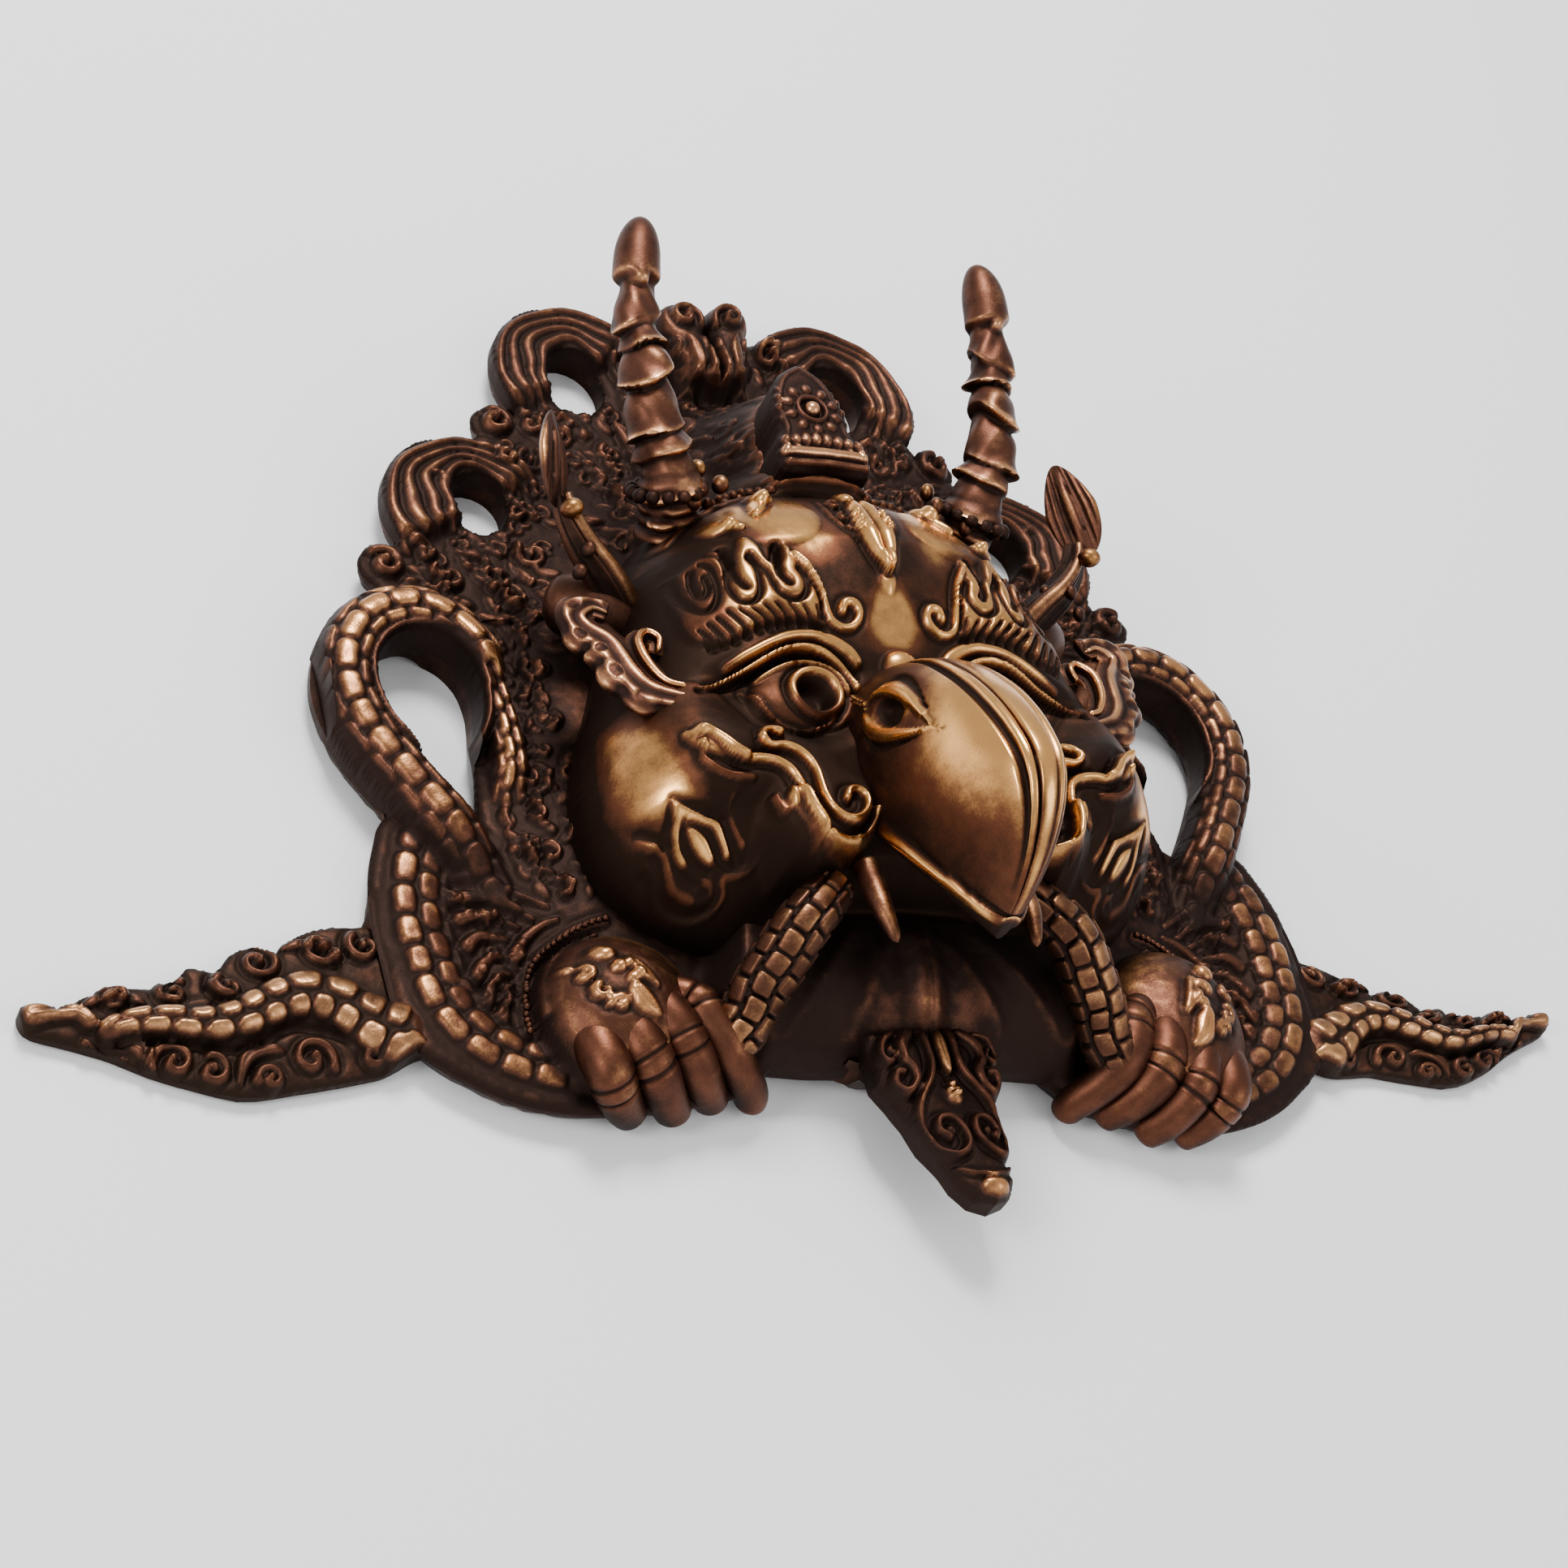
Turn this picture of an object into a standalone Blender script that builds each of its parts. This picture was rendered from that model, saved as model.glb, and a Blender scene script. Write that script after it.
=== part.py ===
"""A cast metal garuda mask, lying on its flat back.

+X is to the right as one faces the mask, +Y is the top of the head and +Z points out of the face.
Sizes and places below are in millimetres, and the mesh is turned into metres once, in to_object.
The right half is described and the left half mirrors it, apart from the unevenness of the hand-made
mould in uneven().
"""

import math

import bmesh
import bpy
import numpy as np
from mathutils import Vector

MM = 0.001

# Fineness of the model
GRID = 2.0
VOXEL = 1.7
MOST_TRIANGLES = 9400
SUNK = 5.0

# Plate, walls and grounds, as heights above the flat back
PLATE_TOP = 9.0
WING_TOP = 5.0
BODY_GROUND = 15.0
BODY_GROUND_REACH = 26.0
CHEST_OUTLINE = ((0, -40), (46, -60), (52, -88), (44, -103), (0, -104))
CHEST_GROUND = 21.0
CHEST_SWELL = 6.0
CHEST_MIDDLE = -84.0
CHEST_LENGTH = 26.0
FILLET = 4.0
ROUNDED_RIM = 3.0
RIM_DROP = 2.1

# Snakes
SNAKE_RADIUS = 8.4
SNAKE_HEIGHT = 12.0
COIL_RADIUS = 9.0
COIL_TOP = 11.5
COIL_BAND = 2.0
COIL_ROUNDING = 7.0
INNER_STRAND_RADIUS = 5.0
INNER_STRAND_TOP = 18.0
LOOP_COLLAR = 3.0
COLLAR_TOP = 19.5
SCALE_LENGTH = 8.5
SCALE_RELIEF = 1.6
LOOP_ROUTE = ((98, -30), (95, -12), (95.5, 6), (98, 20), (104.5, 30.5), (114, 34.5), (125.5, 31),
              (133.5, 21), (136.5, 8), (134, -5), (128, -16.5), (120.5, -28.5), (112, -41), (105, -54))
INNER_STRAND_RUN = 52.0
STRAND_CHANGE = 12.0
COIL_ROUTE = ((124, -38), (128, -50), (129.5, -62), (128.5, -73), (127, -84), (122, -94),
              (114, -101.5), (103, -106.5), (90, -108.5), (76, -108.5))
LOOP_HOLE = ((99.5, 10), (101, 18.5), (106, 25), (114, 27), (121.5, 24), (127, 16.5),
             (128.3, 7), (126, -3), (119.5, -10.5), (111, -13), (105, -8), (101, 0))

# Arches beside the finial
UPPER_ARCH = (42.5, 131.5, 27.0)
UPPER_HOLE = (43.5, 131.0, 9.5, 11.5)
LOWER_ARCH = (87.0, 75.0, 26.5)
LOWER_HOLE = (84.0, 79.5, 8.6, 9.6)
ARCH_TOP = 14.0
FLUTES = 4
FLUTE_DEPTH = 2.0
FLUTED_FROM = (-42.0, -22.0)
FLUTED_TO = (132.0, 155.0)
SCROLL_BETWEEN = (73.0, 111.5, 6.5)
SIDE_CURL = (116.5, 54.5, 6.9)
CURL_RISE = 4.5
CURL_HALF_WIDTH = 2.6

# Finial and pendant
FINIAL_LOBE = (7.6, 151.5, 8.2)
FINIAL_STEM = ((0, 128), (9, 130), (15, 150), (0, 152))
FINIAL_TOP = 24.0
FINIAL_EDGE_DROP = 6.0
FINIAL_ROUNDING = 8.0
FINIAL_CURL = (7.5, 152.0, 4.6)
FINIAL_CURL_HALF_WIDTH = 2.4
PENDANT_OUTLINE = ((0, -98), (19, -100), (18.5, -115), (15.5, -120), (12.6, -126), (11.8, -133),
                   (9.2, -139), (8.4, -144), (5.2, -148.4), (0, -150.2))
PENDANT_TOP = 24.0
PENDANT_EDGE_DROP = 4.5
PENDANT_ROUNDING = 9.0
PENDANT_SCROLLS = ((6.2, -132, 4.4), (8.5, -113, 5.5))
PENDANT_SCROLL_RISE = 2.4
PENDANT_SCROLL_HALF_WIDTH = 2.0

# Wings
WING_OUTLINE = ((128, -60), (143, -58.5), (150, -58.8), (157, -60.6), (163, -64), (166, -67.2),
                (172, -65.2), (177, -67.6), (181, -72), (188, -71.2), (192, -75.4), (200, -76.4),
                (208, -76), (215, -78.6), (221.5, -82.6), (226, -79.2), (229.6, -81), (230, -84.6),
                (227.5, -88), (218, -91.4), (210, -94.6), (201, -99.6), (194, -102.6),
                (180, -107.2), (166, -105.6), (149, -102.6), (134, -98.6), (126, -92))
TAIL_ROUTE = ((136, -92), (143, -88), (151, -84.5), (160, -82.4), (168, -84.5), (176, -88.5),
              (185, -90), (194, -88.5), (203, -87), (211, -87.5))
TAIL_WIDTH = (8.0, 3.4)
TAIL_TOP = 10.5
WING_SCROLLS = ((153, -68, 6.0, 1), (171, -73, 6.5, 1), (190, -78.5, 4.5, 1), (161, -98, 5.6, -1),
                (194, -96, 6.0, -1), (177, -102, 4.0, -1))
WING_SCROLL_RISE = 3.0
WING_SCROLL_HALF_WIDTH = 2.2
WING_KNOB = (222.0, -84.6, 9.0, 4.6)
WING_KNOB_RISE = 5.0
WING_TIP = 230.0
WING_ROOT = (134.0, 145.0)
WING_SHOULDER = (-50.0, -56.0)

# Unevenness of the hand-made mould, as values at places across the mask
WING_MIDDLE = ((150, -82.0), (190, -89.0), (230, -85.0))
WING_HEIGHTS = ((135, 1.0), (155, 0.74), (205, 0.72), (230, 0.9))
WING_LIFTS = ((-230, -5.5), (-185, -2.5), (-140, -2.0), (140, -2.0), (185, -2.5), (230, 1.0))
SHORTER_WING = 5.0
SHORTER_FROM = 190.0
HEM_LIFTS = ((-140, 0.0), (-75, 3.6), (-30, 0.0), (30, 0.0), (75, -3.6), (140, 0.0))
HEM_FROM = -70.0
HEM_TO = -108.0
CROWN_LIFTS = ((0, 0.0), (22, 5.0), (60, 5.0), (80, 0.0))
CROWN_FROM = 96.0
CROWN_TO = 130.0
CROWN_BELOW = 40.0
HORN_LEAN = 4.0
PENDANT_LEAN = 5.0

# Underside of the rim, which is drawn in towards the back
RIM_LIFT = 6.5
WING_RIM_LIFT = 1.2
RIM_RUN = 8.0
PENDANT_LIFT = 13.5
PENDANT_FROM = (-103.0, -110.0)

# Torso plate
TORSO_OUTLINE = ((0, 146), (16, 151), (22, 152), (34, 146), (60, 120), (80, 106), (84, 92), (104, 66),
                 (117.4, 60), (121, 52), (119, 44), (97, 30), (94, 0), (98, -24), (106, -34),
                 (126, -34), (132, -39), (137.5, -49), (140.5, -58.6), (139.5, -84), (134.5, -99.5),
                 (127, -106), (118, -112), (105, -117), (88, -119.3), (72, -118.5), (60, -116),
                 (50, -112.5), (42, -105.5), (0, -105.5))

# Head
HEAD_OUTLINE = ((0, 74), (24, 71), (41, 62), (54, 48), (62, 34), (66, 18), (72, 2), (80, -16),
                (84.5, -36), (82, -54), (70, -68), (52, -76), (30, -79), (0, -79))
HEAD_TOPS = ((-79, 36.0), (-64, 47.0), (-48, 55.0), (-30, 58.0), (-12, 58.0), (8, 62.0),
             (28, 62.5), (46, 58.5), (60, 53.0), (74, 48.0))
HEAD_ROLL_OFF = 40.0
HEAD_FULLNESS = 2.3
BROW_ROUTE = ((15, 4), (20, 12), (29, 14.5), (40, 12), (50, 5), (58, -4))
BROW_WIDTH = 8.5
BROW_RISE = 5.0
BROW_FLAMES = ((25, 27, 4.2), (39, 26, 4.2), (51, 19, 4.0))
BROW_FLAME_LENGTH = 14.0
BROW_FLAME_RISE = 3.4
SOCKET = (36.0, -22.0, 31.0, 17.0)
SOCKET_DEPTH = 6.0
SOCKET_FROM = 14.0
EYE = (32.0, -23.0, 11.5, 9.0)
EYE_RISE = 8.0
LID_ROUTE = ((17.5, -20), (20, -11.5), (30, -6.5), (44, -9), (57, -17), (66, -26))
LID_WIDTH = 3.0
LID_RISE = 8.0
LOWER_LID_RISE = 5.0
LOWER_LID_ROUTE = ((18, -30), (28, -35.5), (40, -34), (54, -27))
FOREHEAD_DOME = (30.0, 37.0, 12.0, 10.0)
FOREHEAD_DOME_RISE = 3.0
FOREHEAD_STRIP = ((0, 60), (0, 11))
FOREHEAD_STRIP_WIDTH = 5.5
FOREHEAD_STRIP_RISE = 6.0
CROWN_BAND = ((0, 58), (16, 57), (32, 52), (45, 44))
CROWN_BAND_RISE = 3.0
CROWN_BAND_HALF_WIDTH = 3.2
CROWN_LEAF = ((0, 62), (13, 61), (13.5, 70), (11, 76), (11.5, 84), (9, 92), (6, 97), (0, 101.5))
CROWN_LEAF_TOP = 57.0
CROWN_LEAF_SWELL = 2.5
CROWN_LEAF_ROUNDING = 8.0
ROSETTE = (0.0, 80.0, 5.5)
ROSETTE_RISE = 3.5
CROWN_SLOPE = ((0, 62), (30, 58), (44, 66), (30, 88), (16, 112), (0, 118))
CROWN_SLOPE_TOP = 27.0
CROWN_SLOPE_EDGE = 9.0
CROWN_SLOPE_FALL = 1.1

# Beak, as stations of ridge height, margin height and half width down the face
BEAK_STATIONS = ((-12, 61, 50, 9), (-18, 72, 48, 15), (-26, 82.5, 47, 18.5), (-38, 92.5, 47, 20.0),
                 (-50, 99.5, 49, 20.0), (-62, 104, 54, 18.5), (-73, 105.3, 59, 15.5),
                 (-83, 101, 63, 11.5), (-91, 92, 65.5, 7.5), (-96.5, 80, 67, 3.8), (-98.5, 71, 67.5, 1.6))
BEAK_SIDES = 24
BEAK_POWER = 2.35
BEAK_BAND = 2.2
BEAK_BAND_AT = (0.20, 0.42)
NOSE_KNOB = (0.0, -12.0, 60.0, 5.5)
NOSTRIL = (11.0, -27.0, 75.0, 4.0)
MOUTH_OUTLINE = ((0, -60), (20, -62), (30, -76), (24, -92), (0, -97))
MOUTH_FLOOR = 26.0
MOUTH_SLOPE = 2.6
TUSK = ((21, -68, 47), (22, -80, 50), (20.5, -92, 50))
TUSK_RADIUS = 3.6

# Horns and ears and the other free forms, as routes of x, y, height
HORN_ROUTE = ((45, 48, 38), (49, 58, 52), (53, 70, 59.5), (54.5, 84, 65), (54.5, 98, 70),
              (53.5, 112, 75), (51.5, 127, 79.5))
HORN_RADIUS = (9.0, 8.8, 8.6, 8.0, 6.6, 5.4, 3.0)
HORN_RIBS = 9
HORN_RIB_RELIEF = 0.9
HORN_RIBBED_PART = 0.56
EAR_ROUTE = ((57, -11, 50), (65, -13.5, 50), (73, -9, 50), (76, -1, 49), (74, 7, 49), (78, 15, 48),
             (85, 14, 46), (86, 8, 45), (81, 6.5, 45))
EAR_RADIUS = (3.5, 5.6, 6.2, 5.6, 5.0, 4.8, 4.2, 3.6, 2.6)
MOUSTACHE_ROUTE = ((65, -35, 53), (58, -42, 57), (49, -46, 59), (43, -54, 60), (38, -64, 60),
                   (29, -68, 61), (22.5, -62, 62), (25, -55, 63), (31, -57, 63))
MOUSTACHE_RADIUS = (1.8, 3.4, 4.4, 4.8, 5.0, 4.8, 4.2, 3.6, 2.8)
LEAF_EAR_STEM = ((56, 28, 36), (66, 33, 42), (75, 38, 46), (80, 45, 48), (81.5, 52, 50))
LEAF_EAR_STEM_RADIUS = (8.0, 8.0, 7.4, 6.0, 4.0)
LEAF_EAR_BRACKET = ((56, 22, 24), (68, 28, 28), (79, 34, 22))
LEAF_EAR_BRACKET_RADIUS = (9.0, 9.0, 8.0)
LEAF_EAR = (81.5, 60.0, 51.5)
LEAF_EAR_HALF = (7.8, 15.5, 2.8)
LEAF_EAR_TAPER = 0.35
LEAF_EAR_HOLLOW = 0.9
LEAF_EAR_FACING = (-0.7, -0.2, 0.68)
HELD_SNAKE_ROUTE = ((24, -72, 46), (33, -80, 46), (41, -85.5, 36), (49, -90, 27), (57, -93, 22))
HELD_SNAKE_RADIUS = (5.0, 6.0, 6.4, 6.4, 5.5)
CROWN_BEADS = ((47, 50, 52, 3.8), (40, 54.5, 54, 3.8), (32, 58, 55, 3.6), (24, 60.5, 56, 3.6))
EAR_BALL = (78.0, 41.0, 54.0, 4.2)

# Hands
PALM = (80.0, -89.0, 21.0, 17.5)
PALM_TOP = 29.0
PALM_SWELL = 15.0
CUFF_RADIUS = 25.5
CUFF_WIDTH = 2.0
CUFF_RISE = 4.0
CUFF_BELOW = 2.0
CUFF_INWARD = 16.0
FINGER_KNUCKLES = ((64, -93), (72, -97), (80.5, -100), (89.5, -100.5))
FINGER_TIPS = ((50, -110.5), (61, -114.5), (70.5, -117), (80, -118.6))
FINGER_RADIUS = 5.2
KNUCKLE_TOP = 26.0
FINGERTIP_TOP = 7.0
FINGER_ROUNDING = 7.0
FINGER_BEND = 1.6
HAND_ORNAMENT = (83.0, -85.0, 8.5)
HAND_ORNAMENT_RISE = 2.6
HAND_ORNAMENT_HALF_WIDTH = 2.4

# What is cut away below the flat back
CUTTER_SIZE = (700.0, 600.0, 100.0)
SHARP_ANGLE = 50.0

BRONZE = (0.23, 0.12, 0.07, 1.0)
BRONZE_ROUGHNESS = 0.42


def curve_through(points, per_span=8):
    """Catmull-Rom points through the given ones, which may have two or three coordinates or more."""
    given = np.array(points, float)
    padded = np.vstack([2 * given[0] - given[1], given, 2 * given[-1] - given[-2]])
    found = []
    for i in range(1, len(padded) - 2):
        a, b, c, d = padded[i - 1 : i + 3]
        for t in np.arange(per_span) / per_span:
            found.append(
                0.5 * (2 * b + (c - a) * t + (2 * a - 5 * b + 4 * c - d) * t**2
                       + (3 * b - a - 3 * c + d) * t**3)
            )
    found.append(given[-1])
    return np.array(found)


def spiral(x, y, radius, way=1, start=0.0, turns=1.4):
    """A scroll's line, from its rim to its centre."""
    t = np.linspace(0, 1, 22)
    angle = math.radians(start) + way * turns * 2 * math.pi * t
    reach = radius * (1 - 0.86 * t)
    return np.stack([x + reach * np.cos(angle), y + reach * np.sin(angle)], axis=1)


def along(route, x, y):
    """For each place, its distance to the route, the signed side, and how far along the foot is."""
    best = np.full(x.shape, 1e9)
    side = np.zeros(x.shape)
    run = np.zeros(x.shape)
    gone = 0.0
    for (ax, ay), (bx, by) in zip(route[:-1, :2], route[1:, :2]):
        dx, dy = bx - ax, by - ay
        length = math.hypot(dx, dy)
        if length < 1e-9:
            continue
        t = np.clip(((x - ax) * dx + (y - ay) * dy) / length**2, 0, 1)
        away = np.hypot(x - ax - t * dx, y - ay - t * dy)
        nearer = away < best
        best = np.where(nearer, away, best)
        cross = (dx * (y - ay) - dy * (x - ax)) / length
        side = np.where(nearer, np.sign(cross) * away, side)
        run = np.where(nearer, gone + t * length, run)
        gone += length
    return best, side, run, gone


def polygon_distance(outline, x, y):
    """Distance to a closed outline, negative inside it."""
    points = np.array(outline, float)
    away = np.full(x.shape, 1e9)
    inside = np.zeros(x.shape, bool)
    for (ax, ay), (bx, by) in zip(points, np.roll(points, -1, axis=0)):
        dx, dy = bx - ax, by - ay
        t = np.clip(((x - ax) * dx + (y - ay) * dy) / (dx * dx + dy * dy), 0, 1)
        away = np.minimum(away, np.hypot(x - ax - t * dx, y - ay - t * dy))
        crosses = (ay > y) != (by > y)
        with np.errstate(divide="ignore", invalid="ignore"):
            at = (bx - ax) * (y - ay) / (by - ay) + ax
        inside ^= crosses & (x < at)
    return np.where(inside, -away, away)


def ellipse_distance(x, y, cx, cy, rx, ry):
    reach = np.hypot((x - cx) / rx, (y - cy) / ry)
    return (reach - 1) * min(rx, ry)


def full_outline(half):
    """A closed outline from its right half, which starts and ends on the mirror line."""
    right = list(half)
    left = [(-x, y) for x, y in reversed(right) if x > 1e-6]
    return right + left


def smooth_step(low, high, value):
    t = np.clip((value - low) / (high - low), 0, 1)
    return t * t * (3 - 2 * t)


def blend_max(a, b, width):
    """The higher of two surfaces, with a hollow fillet of the given width where they meet."""
    t = np.clip(0.5 + 0.5 * (a - b) / width, 0, 1)
    return a * t + b * (1 - t) + width * t * (1 - t)


def bump(reach):
    """A rounded profile: one on the line and nought at one half width from it."""
    return np.sqrt(np.clip(1 - reach**2, 0, 1))


def outer_edge(x, y):
    """Distance to the rim of the plate as if it had no holes, negative on metal. x is not negative."""
    edge = polygon_distance(full_outline(TORSO_OUTLINE), x, y)
    edge = np.minimum(edge, polygon_distance(WING_OUTLINE, x, y))
    edge = np.minimum(edge, polygon_distance(full_outline(PENDANT_OUTLINE), x, y))
    edge = np.minimum(edge, np.hypot(x - UPPER_ARCH[0], y - UPPER_ARCH[1]) - UPPER_ARCH[2])
    edge = np.minimum(edge, np.hypot(x - LOWER_ARCH[0], y - LOWER_ARCH[1]) - LOWER_ARCH[2])
    edge = np.minimum(edge, np.hypot(x - SCROLL_BETWEEN[0], y - SCROLL_BETWEEN[1]) - SCROLL_BETWEEN[2])
    edge = np.minimum(edge, np.hypot(x - SIDE_CURL[0], y - SIDE_CURL[1]) - SIDE_CURL[2])
    edge = np.minimum(edge, np.hypot(x - FINIAL_LOBE[0], y - FINIAL_LOBE[1]) - FINIAL_LOBE[2])
    edge = np.minimum(edge, nearest(curve_through(LOOP_ROUTE), x, y) - SNAKE_RADIUS)
    return np.minimum(edge, nearest(curve_through(COIL_ROUTE), x, y) - COIL_RADIUS - COIL_BAND)


def mask_edge(x, y):
    """Distance to the edge of the plate and of its holes, negative on metal. x is not negative."""
    edge = outer_edge(x, y)
    edge = np.maximum(edge, -polygon_distance(curve_through(LOOP_HOLE + LOOP_HOLE[:1], 4)[:-1], x, y))
    edge = np.maximum(edge, -ellipse_distance(x, y, *UPPER_HOLE))
    edge = np.maximum(edge, -ellipse_distance(x, y, *LOWER_HOLE))
    return edge


def scale_rows(side, run, half_width):
    """Raised oblong scales in three staggered rows along a snake, as a height from 0 to 1."""
    row = side / half_width * 1.5
    index = np.round(row)
    across = np.abs(row - index) * 2
    shift = run / SCALE_LENGTH + 0.5 * (index % 2)
    length = np.abs(shift - np.round(shift)) * 2
    return smooth_step(1.0, 0.72, across) * smooth_step(1.0, 0.78, length)


def wing_share(x, y):
    """One on the wing, nought on the body."""
    return smooth_step(*WING_ROOT, x) * smooth_step(*WING_SHOULDER, y)


def nearest(route, x, y):
    """Distance to a route alone."""
    return along(route, x, y)[0]


def arch_flutes(height, x, y, arch, hole):
    """Round flutes that follow the rim of an arch, between its hole and its edge."""
    out = np.hypot(x - arch[0], y - arch[1])
    inner = ellipse_distance(x, y, *hole)
    share = np.clip(inner / np.maximum(inner + arch[2] - out, 0.1), 0, 1)
    wave = np.abs(np.sin(share * FLUTES * math.pi))
    crown = ARCH_TOP - FLUTE_DEPTH + FLUTE_DEPTH * wave
    angle = np.degrees(np.arctan2(y - arch[1], x - arch[0]))
    banded = smooth_step(*FLUTED_FROM, angle) * (1 - smooth_step(*FLUTED_TO, angle))
    return np.where(out < arch[2] + 1, np.maximum(height, height + (crown - height) * banded), height)


def grounds(x, y, head):
    """The plate, the wings, and the ground that climbs to the head, chest and crown."""
    height = PLATE_TOP + (WING_TOP - PLATE_TOP) * wing_share(x, y)
    nearness = np.clip(1 - np.maximum(head, 0) / BODY_GROUND_REACH, 0, 1)
    height += (BODY_GROUND - height) * smooth_step(0, 1, nearness) * (1 - wing_share(x, y))
    chest = polygon_distance(CHEST_OUTLINE, x, y)
    swell = CHEST_SWELL * np.cos(np.clip((y - CHEST_MIDDLE) / CHEST_LENGTH, -1.5, 1.5))
    fall = 3 * np.maximum(chest, 0)
    height = blend_max(height, np.where(chest < 6, CHEST_GROUND + swell - fall, 0), FILLET)
    slope = polygon_distance(full_outline(CROWN_SLOPE), x, y) + CROWN_SLOPE_EDGE
    return blend_max(height, CROWN_SLOPE_TOP - CROWN_SLOPE_FALL * np.maximum(slope, 0), FILLET)


def finial_and_curls(height, x, y):
    """The double-lobed finial at the top, and the curls at the ends of the arches."""
    for cx, cy, radius in (SCROLL_BETWEEN, SIDE_CURL):
        away = nearest(spiral(cx, cy, radius - 1.2, 1, 90), x, y)
        height = np.maximum(height, PLATE_TOP + CURL_RISE * bump(away / CURL_HALF_WIDTH))
    finial = np.hypot(x - FINIAL_LOBE[0], y - FINIAL_LOBE[1]) - FINIAL_LOBE[2]
    finial = np.minimum(finial, polygon_distance(FINIAL_STEM, x, y))
    swell = 4 * bump(np.clip(1 + finial / FINIAL_ROUNDING, 0, 1))
    body = FINIAL_TOP - FINIAL_EDGE_DROP + swell - 2.2 * np.maximum(finial + 1, 0)
    height = blend_max(height, body, 2)
    away = nearest(spiral(*FINIAL_CURL, -1, 200), x, y)
    curl = FINIAL_TOP - 4 + 4 * bump(away / FINIAL_CURL_HALF_WIDTH)
    return np.where(away < FINIAL_CURL_HALF_WIDTH, np.maximum(height, curl), height)


def pendant(height, x, y):
    """The drop below the chest, with its scrolls."""
    edge = polygon_distance(full_outline(PENDANT_OUTLINE), x, y)
    reach = np.clip(-edge / PENDANT_ROUNDING, 0, 1)
    dome = PENDANT_TOP - PENDANT_EDGE_DROP + PENDANT_EDGE_DROP * np.sqrt(reach * (2 - reach))
    height = np.where(edge < 0, np.maximum(height, dome), height)
    for cx, cy, radius in PENDANT_SCROLLS:
        away = nearest(spiral(cx, cy, radius, 1, 60), x, y)
        height = height + PENDANT_SCROLL_RISE * bump(away / PENDANT_SCROLL_HALF_WIDTH)
    return height


def wing(height, x, y):
    """Scrolls on the wing, the scaled tail that runs along it, and the knob at its tip."""
    for cx, cy, radius, way in WING_SCROLLS:
        away = nearest(spiral(cx, cy, radius, way, -120 * way), x, y)
        height = height + WING_SCROLL_RISE * bump(away / WING_SCROLL_HALF_WIDTH)
    away, side, run, whole = along(curve_through(TAIL_ROUTE), x, y)
    width = TAIL_WIDTH[0] + (TAIL_WIDTH[1] - TAIL_WIDTH[0]) * run / whole
    tail = WING_TOP - 2 + (TAIL_TOP - WING_TOP) * bump(away / width)
    tail += SCALE_RELIEF * scale_rows(side, run, width)
    height = np.where(away < width, np.maximum(height, tail), height)
    knob = np.hypot((x - WING_KNOB[0]) / WING_KNOB[2], (y - WING_KNOB[1]) / WING_KNOB[3])
    return np.maximum(height, WING_TOP + WING_KNOB_RISE * bump(knob))


def snakes(height, x, y):
    """The low coil that runs down to the hand, and the looped strand above it with its collar."""
    away, side, run, _ = along(curve_through(COIL_ROUTE), x, y)
    coil = COIL_TOP - COIL_ROUNDING + COIL_ROUNDING * bump(away / COIL_RADIUS)
    coil += SCALE_RELIEF * scale_rows(side, run, COIL_RADIUS)
    height = np.where(away < COIL_RADIUS, np.maximum(height, coil), height)

    away, side, run, _ = along(curve_through(LOOP_ROUTE), x, y)
    inner = smooth_step(INNER_STRAND_RUN, INNER_STRAND_RUN - STRAND_CHANGE, run)
    radius = SNAKE_RADIUS + (INNER_STRAND_RADIUS - SNAKE_RADIUS) * inner
    middle = SNAKE_HEIGHT + (INNER_STRAND_TOP - INNER_STRAND_RADIUS - SNAKE_HEIGHT) * inner
    strand = middle + radius * bump(away / radius) - 1
    strand += SCALE_RELIEF * scale_rows(side, run, radius)
    height = np.where(away < radius, np.maximum(height, strand), height)
    hole = polygon_distance(curve_through(LOOP_HOLE + LOOP_HOLE[:1], 4)[:-1], x, y)
    return np.where((hole > -0.5) & (hole < LOOP_COLLAR), np.maximum(height, COLLAR_TOP), height)


def surface(x, y):
    """Height of the front of the mask above its back, without the forms that stand free."""
    head = polygon_distance(full_outline([tuple(p) for p in curve_through(HEAD_OUTLINE, 5)]), x, y)
    height = grounds(x, y, head)
    height = arch_flutes(height, x, y, UPPER_ARCH, UPPER_HOLE)
    height = arch_flutes(height, x, y, LOWER_ARCH, LOWER_HOLE)
    height = finial_and_curls(height, x, y)
    height = pendant(height, x, y)
    height = wing(height, x, y)
    height = snakes(height, x, y)
    height = hand(height, x, y)
    height = face(height, head, x, y)
    rim = np.clip(-mask_edge(x, y) / ROUNDED_RIM, 0, 1)
    return height - RIM_DROP * (1 - np.sqrt(rim * (2 - rim)))


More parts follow.
